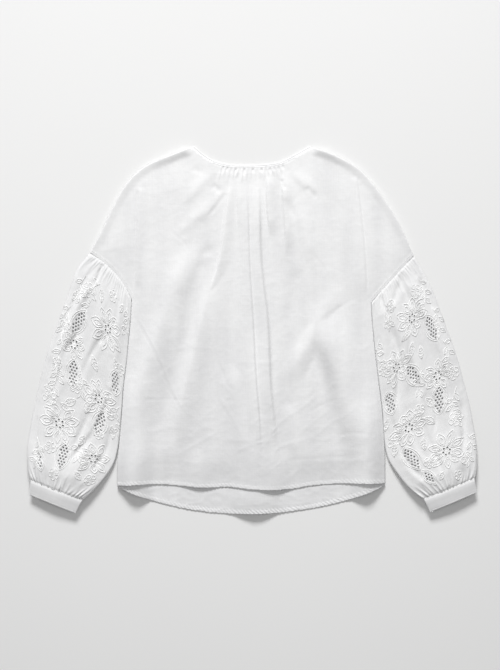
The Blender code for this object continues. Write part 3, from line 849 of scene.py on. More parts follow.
@dataclass(frozen=True)
class Cotton:
    """Plain-weave white cotton: fine threads, slubs along and across, and soft crumples, with painted
    shade in its colour that darkens towards low y of the cloth and runs in long soft strips along it.
    """

    name: str
    light: tuple[float, float, float, float] = (0.818, 0.818, 0.82, 1.0)
    dark: tuple[float, float, float, float] = (0.74, 0.74, 0.746, 1.0)
    thin: float = 0.0
    thread: float = 0.5
    weave_depth: float = 0.05
    slub_depth: float = 0.22
    crumple_depth: float = 0.75
    # How strongly the painted shade in long strips along the cloth, with its random mottling, changes the
    # colour.
    painted_strip_shade: float = 1.5

    def material(self) -> bpy.types.Material:
        """Makes the finish.

        Returns:
            The material.
        """
        bench = Bench(self.name)
        cloth = bench.cloth()
        along = bench.grain(cloth, (0.035, 0.55, 1.0), 3.0)
        across = bench.grain(cloth, (0.55, 0.035, 1.0), 3.0)
        slub = 0.5 * along + 0.5 * across
        warp = bench.wave(cloth, "X", self.thread, 0.6)
        weft = bench.wave(cloth, "Y", self.thread, 0.6)
        weave = 0.5 * warp + 0.5 * weft
        crumple = bench.grain(cloth, (0.11, 0.09, 1.0), 4.0)
        shade = 1.6 * slub - 0.3
        # Painted shade: the colour darkens steadily towards low y of the cloth coordinates, which on the
        # body panels is towards the hem.
        painted_shade_axes = bench.node("ShaderNodeSeparateXYZ", {}, {0: cloth})
        shade = shade - 0.1 * weave + 0.0014 * bench.wire(painted_shade_axes, 1)
        # Painted shade and light: long soft strips along the cloth stand in for the shading of folds and
        # of doubled layers, with rounder random mottling of the cloth's own tone added.
        shade_strips_and_mottle = bench.grain(cloth, (0.034, 0.004, 1.0), 1.0)
        shade_strips_and_mottle = shade_strips_and_mottle + bench.grain(cloth, (0.017, 0.012, 1.0), 3.0)
        shade = shade + self.painted_strip_shade * (shade_strips_and_mottle - 1.0)
        tone = bench.math("MINIMUM", bench.math("MAXIMUM", shade, 0.0), 1.0)
        height = (
            (self.slub_depth / self.crumple_depth) * slub
            + (self.weave_depth / self.crumple_depth) * weave
            + crumple
        )
        return bench.dress(
            {
                "Base Color": bench.mixed(tone, self.dark, self.light),
                "Roughness": 0.86 + 0.1 * slub,
                "Normal": bench.bump(height, 0.55, self.crumple_depth),
            },
            {"Sheen Weight": 0.12, "Sheen Roughness": 0.6, "Specular IOR Level": 0.25},
            self.thin,
        )


@dataclass(frozen=True)
class SatinThread:
    """Bright embroidery thread, laid side by side across each stroke."""

    name: str
    light: tuple[float, float, float, float] = (0.92, 0.92, 0.916, 1.0)
    dark: tuple[float, float, float, float] = (0.86, 0.86, 0.86, 1.0)
    pitch: float = 0.45
    depth: float = 0.12

    def material(self) -> bpy.types.Material:
        """Makes the finish.

        Returns:
            The material.
        """
        bench = Bench(self.name)
        cloth = bench.cloth()
        strands = bench.wave(cloth, "X", self.pitch, 0.8)
        wear = bench.grain(cloth, (0.3, 1.0, 1.0), 2.0)
        return bench.dress(
            {
                "Base Color": bench.mixed(0.6 * strands + 0.4 * wear, self.dark, self.light),
                "Roughness": 0.5 + 0.2 * wear,
                "Normal": bench.bump(strands, 0.5, self.depth),
            },
            {"Sheen Weight": 0.2, "Specular IOR Level": 0.4},
        )


@dataclass(frozen=True)
class PaleFloor:
    """A plain matt surface, barely off white."""

    name: str = "pale_floor"
    light: tuple[float, float, float, float] = (0.815, 0.815, 0.812, 1.0)
    dark: tuple[float, float, float, float] = (0.8, 0.8, 0.797, 1.0)

    def material(self) -> bpy.types.Material:
        """Makes the finish.

        Returns:
            The material.
        """
        bench = Bench(self.name)
        place = bench.wire(bench.node("ShaderNodeTexCoord"), "Object")
        haze = bench.grain(place, (2.0, 2.0, 1.0), 3.0)
        return bench.dress(
            {"Base Color": bench.mixed(haze, self.dark, self.light), "Roughness": 0.85 + 0.1 * haze},
            {"Specular IOR Level": 0.15},
        )


def finish_piece(
    piece: bpy.types.Object,
    finish: Cotton | SatinThread,
    nodes: Sequence[str] = (),
) -> None:
    """Gives a piece its material and body, and hides the solids that it stands for.

    Args:
        piece: The piece.
        finish: What it is made of.
        nodes: The solids that it stands for.
    """
    piece.data.materials.append(finish.material())
    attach(piece, BODY)
    if nodes:
        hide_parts(*nodes)
    LOG.info("%s: %d faces", piece.name, len(piece.data.polygons))


BACK_LIFTS = (
    Lift(-214, 21, 15.5, 66, 22),
    Lift(6, 30, 10.0, 116, 54),
    Lift(209, 21, 14.5, 66, 22),
)
FRONT_LIFTS = (
    Lift(-206, 26, 1.2, 60),
    Lift(-96, 23, 3.4, 80, 8),
    Lift(43, 19, 4.2, 80, 8),
    Lift(188, 24, 1.2, 60),
)
SEAM_STEP = 1.6
VOILE_LIGHT = (0.9, 0.9, 0.902, 1.0)
VOILE_DARK = (0.83, 0.83, 0.835, 1.0)
VOILE_THIN = 0.15


def neck_line(inward: float) -> np.ndarray:
    """The neck's edge, moved into the panels."""
    return offset(curve(NECK_EDGE, step=SEAM_STEP), inward)


def body_outline(hem: Table, inward: float, hem_step: float, side_step: float) -> np.ndarray:
    """Outline of a body panel, clockwise from the left neck point.

    Args:
        hem: The panel's hem.
        inward: How far below the neck's edge the panel starts.
        hem_step: Spacing of the hem's points.
        side_step: Spacing of the other edges' points.

    Returns:
        The closed outline's points.
    """
    runs = [
        neck_line(inward),
        curve(RIGHT_SHOULDER, step=side_step),
        curve(RIGHT_SEAM, step=side_step)[1:],
        curve(RIGHT_SIDE, step=side_step)[1:],
        curve(hem, step=hem_step)[::-1][1:-1],
        curve(LEFT_SIDE, step=side_step)[::-1],
        curve(LEFT_SEAM, step=side_step)[::-1][1:],
        curve(LEFT_SHOULDER, step=side_step)[::-1][1:],
    ]
    return np.concatenate(runs)


@dataclass(frozen=True)
class HemBand:
    """A hem turned up twice: a thicker band, its row of stitches and slanting puckers."""

    width: float = 7.0
    rise: float = 0.4
    stitch_line: float = 6.0
    pucker: float = 0.3
    pitch: float = 7.0

    def relief(self, points: np.ndarray, gap: np.ndarray, seed: int) -> np.ndarray:
        """Height that the hem adds, from the distance to the cloth's edge.

        Args:
            points: Points of the plan.
            gap: Distance of each point from the edge.
            seed: Which random draws of many.

        Returns:
            The height at each point.
        """
        band = fading(gap - self.width + 0.6, 1.0)
        row = bell(gap - self.stitch_line, 0.8)
        slant = points[:, 0] + 1.1 * gap
        painted_strip_shade = 0.55 + 0.45 * noise(points, (38.0, 200.0), seed)
        ripple = np.sin(2 * math.pi * slant / self.pitch + 2.0 * noise(points, (17.0, 60.0), seed + 1))
        fade = fading(gap - 4.0, 9.0)
        return self.rise * band - 0.35 * row + self.pucker * painted_strip_shade * ripple * fade


@dataclass
class BackPanel:
    """The back: it lies on the surface, and its curved hem shows below the front's."""

    spacing: float = 9.0
    hem: HemBand = field(default_factory=lambda: HemBand(pucker=0.5))

    def __post_init__(self) -> None:
        """Keeps the edge that its hem is measured from."""
        self.hem_edge = Finder(curve(BACK_HEM, step=0.6))

    def place(self, flat: np.ndarray) -> np.ndarray:
        """Upper face of the panel.

        Args:
            flat: Points of the plan.

        Returns:
            The points in space.
        """
        gap = self.hem_edge.distances(flat)
        lift = lift_heights(flat, BACK_LIFTS, BACK_HEM)
        near = fading(gap - 30.0, 40.0)
        swell = near * (0.5 + 0.5 * noise(flat, (46.0, 30.0), 5)) * 0.5
        crumple = near * puckers(flat, (15.0, 9.0), 6, 3) * 0.35
        sag = 1.4 * fading(gap, 28.0) * smooth(lift / 3.0)
        height = lift + swell + crumple - sag + self.hem.relief(flat, gap, 31) * smooth(near)
        return np.column_stack([flat, CLOTH + height])

    def build(self) -> list[bpy.types.Object]:
        """Makes the panel and its stitches.

        Returns:
            The pieces made.
        """
        plan = SheetPlan(body_outline(BACK_HEM, 2.4, 1.8, 6.0))
        bottom = min(y for _, y in FRONT_HEM) + 12.0
        plan.fill(2.6, lambda points: self.hem_edge.distances(points) < 9.0)
        lattice = plan.points[-1]
        sparse = lattice[:, 1] < bottom
        rows = np.round(lattice / (self.spacing * 0.87)).astype(int)
        _, kept = np.unique(rows, axis=0, return_index=True)
        sparse[kept] = True
        plan.points[-1] = lattice[sparse]
        flat, faces = plan.triangles()
        panel = add_shells("back", [Shell(self.place(flat), faces, flat, CLOTH)])
        thread = Threads()
        StitchRow().sew(thread, offset(curve(BACK_HEM, step=4.0), -self.hem.stitch_line))
        stitches = thread.lay("back_hem_stitches", self.place)
        finish_piece(panel, Cotton("back_cotton_lawn"), ("back_panel",))
        finish_piece(stitches, SatinThread("back_sewing_thread"))
        return [panel, stitches]


MAIN_FOLDS = (
    Crease(3.2, 6.0, ((-34, 290), (-41, 245), (-48, 192), (-58, 126), (-88, 38), (-100, 6)), 0.5, 0.25),
    Crease(2.8, 6.0, ((-27, 285), (-24, 205), (-19, 126), (-14, 60), (-10, 6)), 0.42, 0.22),
    Crease(
        4.6, 7.6,
        ((-12, 285), (-9, 232), (-6, 126), (0, 16), (5, -80), (12, -170), (16, -246)),
        2.3, 0.2, 0.24,
    ),
    Crease(
        5.2, 8.4,
        ((8, 285), (11, 236), (14, 126), (26, 16), (32, -108), (40, -180), (46, -244)),
        2.2, 0.2, 0.3,
    ),
    Crease(3.4, 5.0, ((29, 290), (28, 225), (31, 190), (33, 162)), 0.42, 0.25),
    Crease(3.2, 6.0, ((55, 292), (58, 225), (61, 183), (62, 130)), 0.5, 0.25),
    Crease(1.5, 9, ((60, 292), (84, 272), (104, 252), (118, 232)), 0.8, 0.5),
    Crease(2.2, 13, ((70, 246), (86, 205), (98, 160), (104, 110)), 0.7, 0.4),
    Crease(1.2, 9, ((-50, 296), (-76, 276), (-104, 248), (-124, 222)), 1.1, 0.5),
    Crease(1.9, 12, ((-50, 250), (-84, 212), (-112, 182), (-136, 146)), 1.1, 0.4),
    Crease(
        6.0, 17,
        ((-58, 152), (-72, 84), (-88, 20), (-104, -50), (-120, -110), (-138, -240)),
        0.65, 0.42, 0.3,
    ),
    Crease(
        6.2, 22,
        ((-80, 158), (-106, 134), (-130, 96), (-148, 42), (-166, -8), (-190, -72), (-222, -215)),
        0.85, 0.26, 0.3,
    ),
    Crease(4.6, 18, ((158, 88), (124, 14), (90, -50), (52, -108)), 0.9, 0.34, 0.4),
    Crease(1.6, 15, ((84, 44), (98, -30), (110, -76), (118, -130), (124, -190), (130, -245)), 0.9, 0.4),
    Crease(
        11.0, 31,
        ((116, 60), (138, -26), (157, -80), (172, -134), (184, -190), (196, -262)),
        0.76, 0.3, 0.36,
    ),
    Crease(2.6, 14, ((-34, -60), (-26, -150), (-16, -240)), 1.0),
    Crease(2.2, 12, ((64, -130), (70, -180), (78, -236))),
)
TROUGHS = (
    Crease(
        -1.8, 12,
        ((-84, 134), (-106, 72), (-118, 0), (-138, -72), (-156, -135), (-170, -230)),
        1.0, 0.06,
    ),
    Crease(-2.4, 13, ((104, -4), (116, -40), (128, -80), (142, -134), (158, -240)), 1.0),
    Crease(-1.4, 12, ((82, 117), (72, 50), (58, -6)), 1.0),
    Crease(-0.9, 3.2, ((-46, 248), (-60, 228), (-84, 198)), 0.8, 0.3),
    Crease(-1.2, 8.0, ((-84, 204), (-110, 182), (-134, 158)), 0.9),
    Crease(-1.1, 9.0, ((-68, 150), (-82, 140), (-102, 122)), 1.0, 0.3, 0.5),
    Crease(-1.2, 7.0, ((60, 240), (68, 220), (80, 196)), 1.1, 0.4, 0.5),
    Crease(-1.4, 5.0, ((96, 258), (106, 248), (117, 234)), 0.9),
    Crease(-1.2, 5.0, ((-72, 262), (-64, 255), (-54, 246)), 1.0),
    Crease(-1.0, 5.0, ((-108, 290), (-96, 286), (-84, 284)), 1.0),
    Crease(-1.2, 3.5, ((52, 272), (56, 262), (60, 250)), 1.0),
)
FINE_CREASES = (
    Crease(-0.22, 1.6, ((-190, -243), (-150, -241), (-120, -242))),
    Crease(-0.25, 1.6, ((60, -234), (120, -230), (190, -226))),
    Crease(-0.3, 1.6, ((-205, -126), (-150, -125), (-104, -126))),
    Crease(-0.6, 1.7, ((-214, 30), (-178, -34), (-139, -123), (-112, -162)), 0.8, 0.1),
    Crease(0.5, 2.2, ((-209, 27), (-173, -37), (-134, -126), (-107, -164)), 1.0, 0.1),
    Crease(-0.25, 1.8, ((119, 16), (160, 42), (202, 66))),
    Crease(-0.8, 2.0, ((-206, 252), (-209, 196), (-211, 130), (-213, 72)), 0.8, 0.05, 0.12),
    Crease(-0.8, 2.0, ((191, 277), (195, 240), (202, 171), (209, 62)), 1.2, 0.05, 0.12),
    Crease(0.9, 5.0, ((-201, 258), (-203, 196), (-205, 130), (-208, 72)), 0.7, 0.05, 0.12),
    Crease(0.9, 5.0, ((186, 277), (190, 240), (197, 171), (204, 62)), 1.4, 0.05, 0.12),
    Crease(-0.4, 2.0, ((-88, 40), (-60, -60), (-28, -120))),
    Crease(-0.35, 1.8, ((100, -150), (132, -132), (166, -120))),
    Crease(0.3, 2.0, ((60, -158), (92, -138), (124, -112)), 0.8),
    Crease(0.2, 2.2, ((50, -118), (70, -150), (84, -184)), 1.3),
    Crease(0.3, 2.2, ((86, -186), (120, -158), (150, -136)), 0.8),
    Crease(0.3, 2.0, ((108, -196), (140, -168), (176, -150)), 1.2),
    Crease(0.3, 2.0, ((34, -222), (60, -206), (96, -196), (122, -182)), 1.2),
    Crease(0.35, 2.2, ((-66, -110), (-40, -150), (-14, -200)), 0.7),
    Crease(0.3, 2.2, ((-40, -226), (0, -206), (50, -196)), 0.8),
    Crease(0.3, 2.2, ((-124, -216), (-84, -196), (-50, -172)), 1.2),
    Crease(0.35, 2.2, ((28, -196), (46, -172), (70, -150)), 0.8),
    Crease(-0.4, 2.0, ((-60, -60), (-40, -104), (-30, -110))),
    Crease(-0.4, 1.8, ((150, -190), (186, -184), (222, -190))),
    Crease(-0.35, 1.8, ((-150, 180), (-126, 160), (-112, 140))),
    Crease(-0.35, 1.8, ((104, 140), (126, 116), (138, 84))),
)
# The neck's folds and the shoulders' fold lines are too narrow for the coarse lattice.
CRISP_CREASES = MAIN_FOLDS[:6] + FINE_CREASES[6:10]


@dataclass
class FrontPanel:
    """The front: gathered at the neck, with long soft folds, fine creases and a straight hem."""

    spacing: float = 3.3
    fullness: float = 2.2
    rim: float = 62.0
    gathers: int = 15
    gather_pitch: float = 7.4
    gather_height: float = 2.2
    gather_length: float = 44.0
    pit_depth: float = 1.9
    follow: float = 1.12
    middle_reach: float = 460.0
    corner_reach: float = 235.0
    hem_sink: float = 1.6
    roll: float = 3.7
    roll_width: float = 15.0
    seam_band: float = 6.2
    seam_stitch: float = 5.4
    hem: HemBand = field(default_factory=HemBand)

    def __post_init__(self) -> None:
        """Keeps the edges that heights are measured from."""
        self.hem_edge = Finder(curve(FRONT_HEM, step=0.6))
        self.sides = Finder(np.concatenate([curve(LEFT_SIDE, step=0.6), curve(RIGHT_SIDE, step=0.6)]))
        shoulders = [curve(LEFT_SHOULDER, step=0.6), curve(RIGHT_SHOULDER, step=0.6)]
        self.shoulders = Finder(np.concatenate(shoulders))
        self.seams = Finder(np.concatenate([curve(LEFT_SEAM, step=0.6), curve(RIGHT_SEAM, step=0.6)]))
        self.neck = Finder(offset(curve(NECK_EDGE, step=0.6), BINDING_WIDTH))
        self.over_back = []
        for lift in BACK_LIFTS:
            reach = self.middle_reach if abs(lift.x) < 100.0 else self.corner_reach
            self.over_back.append(replace(lift, reach=reach, level=0.0))
        neck = neck_line(BINDING_WIDTH + 3.2)
        middle = np.linspace(0.27, 0.73, self.gathers)
        self.gather_lines = []
        for index, start in enumerate(read_line(neck, middle)):
            spread = 0.17 * (start[0] - MIDDLE)
            length = self.gather_length * (0.72 + 0.28 * math.cos(2.4 * index))
            sway = 1.2 * math.sin(3.1 * index)
            half = start + (0.45 * spread + sway, -0.5 * length)
            self.gather_lines.append(np.array([start, half, start + (spread, -length)]))

    def gather_heights(self, points: np.ndarray) -> tuple[np.ndarray, np.ndarray]:
        """Small gathers below the binding: how high their crests are, and the pits beside their starts.

        Args:
            points: Points of the plan.

        Returns:
            The crests' heights and the pits' depths.
        """
        total = np.zeros(len(points))
        pits = np.zeros(len(points))
        rows = rows_within(points, np.array([-75.0, 225.0]), np.array([80.0, 305.0]))
        for index, line in enumerate(self.gather_lines):
            gap, part = nearest(points[rows], line)
            size = self.gather_height * (0.7 + 0.3 * math.sin(5.3 * index))
            ridge = size * (0.35 + 0.65 * smooth(part / 0.3)) * (1 - part) ** 1.2
            ridge *= bell(gap, 0.27 * self.gather_pitch * (0.8 + 0.9 * part))
            total[rows] = np.maximum(total[rows], ridge)
            beside = line + (0.5 * self.gather_pitch, 0.0)
            gap, part = nearest(points[rows], beside)
            depth = self.pit_depth * (0.6 + 0.4 * math.sin(2.9 * index)) * fading(part, 0.3)
            pits[rows] = np.maximum(pits[rows], depth * bell(gap, 0.26 * self.gather_pitch))
        return total, pits

    def place(self, flat: np.ndarray) -> np.ndarray:
        """Upper face of the panel.

        Args:
            flat: Points of the plan.

        Returns:
            The points in space.
        """
        hem = self.hem_edge.distances(flat)
        side = self.sides.distances(flat)
        shoulder = self.shoulders.distances(flat)
        seam = self.seams.distances(flat)
        neck = self.neck.distances(flat)
        edge = np.minimum.reduce([hem, side, shoulder, seam, neck])
        below = lift_heights(flat, self.over_back, BACK_HEM)
        base = self.follow * below + lift_heights(flat, FRONT_LIFTS, FRONT_HEM)
        base -= self.hem_sink * fading(hem, 60.0)
        close = smooth(edge / 9.0)
        folds = together(flat, MAIN_FOLDS, np.maximum) * close
        gathers, pits = self.gather_heights(flat)
        loose = self.fullness * smooth(edge / self.rim)
        loose += np.maximum(folds, gathers) + together(flat, TROUGHS, np.add) * smooth(edge / 14.0)
        roll = self.roll * smooth(shoulder / 0.6) * fading(shoulder - 0.8, self.roll_width)
        roll *= 1 - 0.45 * smooth((np.abs(flat[:, 0] - MIDDLE) - 130.0) / 70.0)
        loose += roll * smooth(neck / 16.0) * smooth(seam / 34.0)
        fine = together(flat, FINE_CREASES, np.add) * smooth(hem / 6.0)
        crumple = puckers(flat, (34.0, 20.0), 11, 4) * 0.35
        slanted = flat @ np.array([(0.8, -0.6), (0.6, 0.8)])
        crumple += puckers(slanted, (26.0, 15.0), 12, 4) * 0.3
        lower = 0.4 + 0.3 * smooth((40.0 - flat[:, 1]) / 160.0)
        fine += crumple * lower * smooth(edge / 12.0)
        swell = 0.45 * noise(flat, (60.0, 90.0), 13) + 0.12 * noise(flat, (22.0, 34.0), 14)
        fine += swell * smooth(edge / 30.0)
        band = 0.3 * fading(seam - self.seam_band, 1.2) * smooth(seam / 0.8)
        drop = (LAYER + WALL - EDGE_TOP) * fading(np.minimum(side, shoulder), 0.6)
        drop *= smooth(seam / 4.0)
        drop = np.maximum(drop, 0.6 * fading(seam, 14.0))
        drop += 0.48 * fading(neck, 2.0)
        height = soft_floor(loose + fine, 0.3) + band - pits + self.hem.relief(flat, hem, 41)
        return np.column_stack([flat, LAYER + WALL - drop + base + height])

    def needs_fine(self, points: np.ndarray) -> np.ndarray:
        """Where the panel's form is finer than its coarse lattice.

        Args:
            points: Points of the plan.

        Returns:
            True where the fine lattice is needed.
        """
        found = self.hem_edge.distances(points) < 8.5
        found |= self.seams.distances(points) < 8.0
        found |= np.minimum(self.sides.distances(points), self.shoulders.distances(points)) < 3.4
        found |= (self.neck.distances(points) < 26.0) & (np.abs(points[:, 0] - MIDDLE) < 72.0)
        for crease in CRISP_CREASES:
            path = curve(crease.line, step=6.0)
            rows = rows_within(points, path.min(axis=0) - 8.0, path.max(axis=0) + 8.0)
            gap, _ = nearest(points[rows], path)
            found[rows] |= np.abs(gap) < 5.5
        return found

    def build(self) -> list[bpy.types.Object]:
        """Makes the panel and its stitches.

        Returns:
            The pieces made.
        """
        plan = SheetPlan(body_outline(FRONT_HEM, 2.6, 1.8, 2.2))
        for inward in (0.5, 1.0):
            rim = offset(plan.outline, inward)
            near = np.minimum(self.shoulders.distances(rim), self.sides.distances(rim)) < inward + 0.2
            plan.points.append(rim[near & inside(rim, plan.outline)])
        plan.fill(self.spacing, self.needs_fine)
        flat, faces = plan.triangles()
        panel = add_shells("front", [Shell(self.place(flat), faces, flat, CLOTH)])
        thread = Threads()
        rows = [
            offset(curve(FRONT_HEM, step=4.0), -self.hem.stitch_line),
            offset(curve(LEFT_SEAM, step=4.0), -self.seam_stitch),
            offset(curve(RIGHT_SEAM, step=4.0), self.seam_stitch),
        ]
        for row in rows:
            StitchRow().sew(thread, row)
        stitches = thread.lay("front_stitches", self.place)
        finish_piece(panel, Cotton("front_cotton_lawn", painted_strip_shade=1.7), ("front_panel",))
        finish_piece(stitches, SatinThread("front_sewing_thread"))
        return [panel, stitches]


@dataclass
class NeckBinding:
    """A narrow strip folded over the neck's edge: along the front, over and back below."""

    half: float = 0.62
    wall: float = 0.36
    bend: float = 0.7
    stitch: StitchRow = StitchRow(1.7, 2.5, 0.28, 0.18, 0.25)
    stitch_line: float = BINDING_WIDTH - 0.9

    def section(self) -> np.ndarray:
        """Across and up: outside of the fold, then back along its inside.

        Returns:
            The outline's points.
        """
        width = BINDING_WIDTH / 2
        outer = [(width, self.half * 0.5), (0.5 * width, self.half * 0.62)]
        outer += [(-0.1 * width, self.half * 0.74), (-0.4 * width, self.half)]
        for turn in range(90, 271, 30):
            angle = math.radians(turn)
            outer.append((-width + self.bend * (1 + math.cos(angle)), self.half * math.sin(angle)))
        outer += [(-0.4 * width, -self.half), (0.6 * width, -self.half), (width, -self.half * 0.86)]
        gap = self.half - self.wall
        inner = [(width, -gap), (0.0, -gap), (-width + 1.2, -gap * 0.8), (-width + 0.8, 0.0)]
        inner += [(-width + 1.2, gap * 0.8), (0.0, gap * 0.5), (width, gap * 0.1)]
        return np.array(outer + inner)

    def path(self) -> list[tuple[np.ndarray, np.ndarray, float]]:
        """Middle of the strip, its direction of travel and how far it has turned over.

        Returns:
            Rows of middle, direction and turn.
        """
        edge = curve(NECK_EDGE, step=SEAM_STEP)
        line = offset(edge, BINDING_WIDTH / 2)
        along = headings(edge)
        radius = LAYER / 2
        middle = LAYER - SEAM_GAP / 2
        rows = [(np.array([*point, middle + radius]), way, 0.0) for point, way in zip(line, along)]
        for end, turns in ((-1, range(15, 180, 15)), (0, range(195, 360, 15))):
            if end == 0:
                for point, way in zip(line[::-1], along[::-1]):
                    rows.append((np.array([*point, middle - radius]), way, math.pi))
            for turn in turns:
                angle = math.radians(turn)
                ground = line[end] + along[end] * radius * math.sin(angle)
                rows.append((np.array([*ground, middle + radius * math.cos(angle)]), along[end], angle))
        return rows

    def build(self) -> list[bpy.types.Object]:
        """Makes the binding and its row of stitches.

        Returns:
            The pieces made.
        """
        shape = self.section()
        corners, plans = [], []
        travel = 0.0
        previous = None
        for centre, way, angle in self.path():
            if previous is not None:
                travel += float(np.linalg.norm(centre - previous))
            previous = centre
            across = np.array([way[1], -way[0], 0.0])
            outward = np.array([*(way * math.sin(angle)), math.cos(angle)])
            ripple = 0.12 * math.sin(travel / 1.7) + 0.1 * math.sin(travel / 4.1)
            for side, up in shape:
                swell = up + (ripple if up > 0 else -ripple) * (0.3 + 0.7 * (side > 0)) * (abs(up) > 0.6)
                corners.append(centre + side * across + swell * outward)
                plans.append((travel, side))
        numbers = np.arange(len(corners)).reshape(-1, len(shape))
        faces = [face[::-1] for face in tube_faces(np.concatenate([numbers, numbers[:1]]))]
        strip = add_mesh("neck_strip", np.array(corners), faces, np.array(plans))
        thread = Threads()
        self.stitch.sew(thread, offset(curve(NECK_EDGE, step=4.0), self.stitch_line))
        top = LAYER - SEAM_GAP / 2 + LAYER / 2 + 0.55 * self.half
        stitches = thread.lay("neck_stitches", lambda flat: np.insert(flat, 2, top, axis=1))
        finish_piece(strip, Cotton("binding_cotton_lawn"), ("neck_binding",))
        finish_piece(stitches, SatinThread("binding_sewing_thread"))
        return [strip, stitches]


class Spray(Enum):
    """Kinds of whitework motif."""

    BLOSSOM = "blossom"
    NET = "net"
    LEAF = "leaf"
    SPRIG = "sprig"
    BUD = "bud"


@dataclass(frozen=True)
class Motif:
    """Where a motif sits on the straightened sleeve, how it is turned and how large it is."""

    kind: Spray
    along: float
    across: float
    turn: float
    size: float


def scattered(kind: Spray, *places: Sequence[float]) -> tuple[Motif, ...]:
    """Motifs of one kind, from places that say along, across, turn and size."""
    return tuple(Motif(kind, *place) for place in places)


EYELET_RADIUS = 1.6
EYELET_RING = 6.3
EYELET_COUNT = 6
NET_HOLE = 1.64
NET_PITCH = 5.6
NET_EDGES = 3.4
NET_CLEAR = 2.4
SATIN_HEIGHT = 0.95
SATIN_HALF = 0.75


def circle(centre: Sequence[float], radius: float, count: int) -> np.ndarray:
    """A round ring of points."""
    turns = np.arange(count) * 2 * math.pi / count
    return np.asarray(centre, dtype=float) + radius * np.column_stack([np.cos(turns), np.sin(turns)])


def petal(length: float, width: float, start: float, blunt: float, count: int) -> np.ndarray:
    """Outline of one petal that points along x, from its base out and back.

    Args:
        length: How far out its tip is.
        width: Its full width at the widest.
        start: How far out its base is.
        blunt: How round its tip is, from 0 to 1.
        count: Points on each side.

    Returns:
        The outline's points, open at the base.
    """
    part = np.linspace(0.0, 1.0, count)
    shape = np.sin(math.pi * part ** (1.0 + 0.9 * blunt)) ** (1.0 - 0.4 * blunt)
    shape[-1] = 0.0
    x = start + (length - start) * (1 - (1 - part) ** (1.0 + 0.3 * blunt))
    side = np.column_stack([x, 0.5 * width * shape])
    back = side[::-1] * (1, -1)
    return np.concatenate([side, back[1:]])


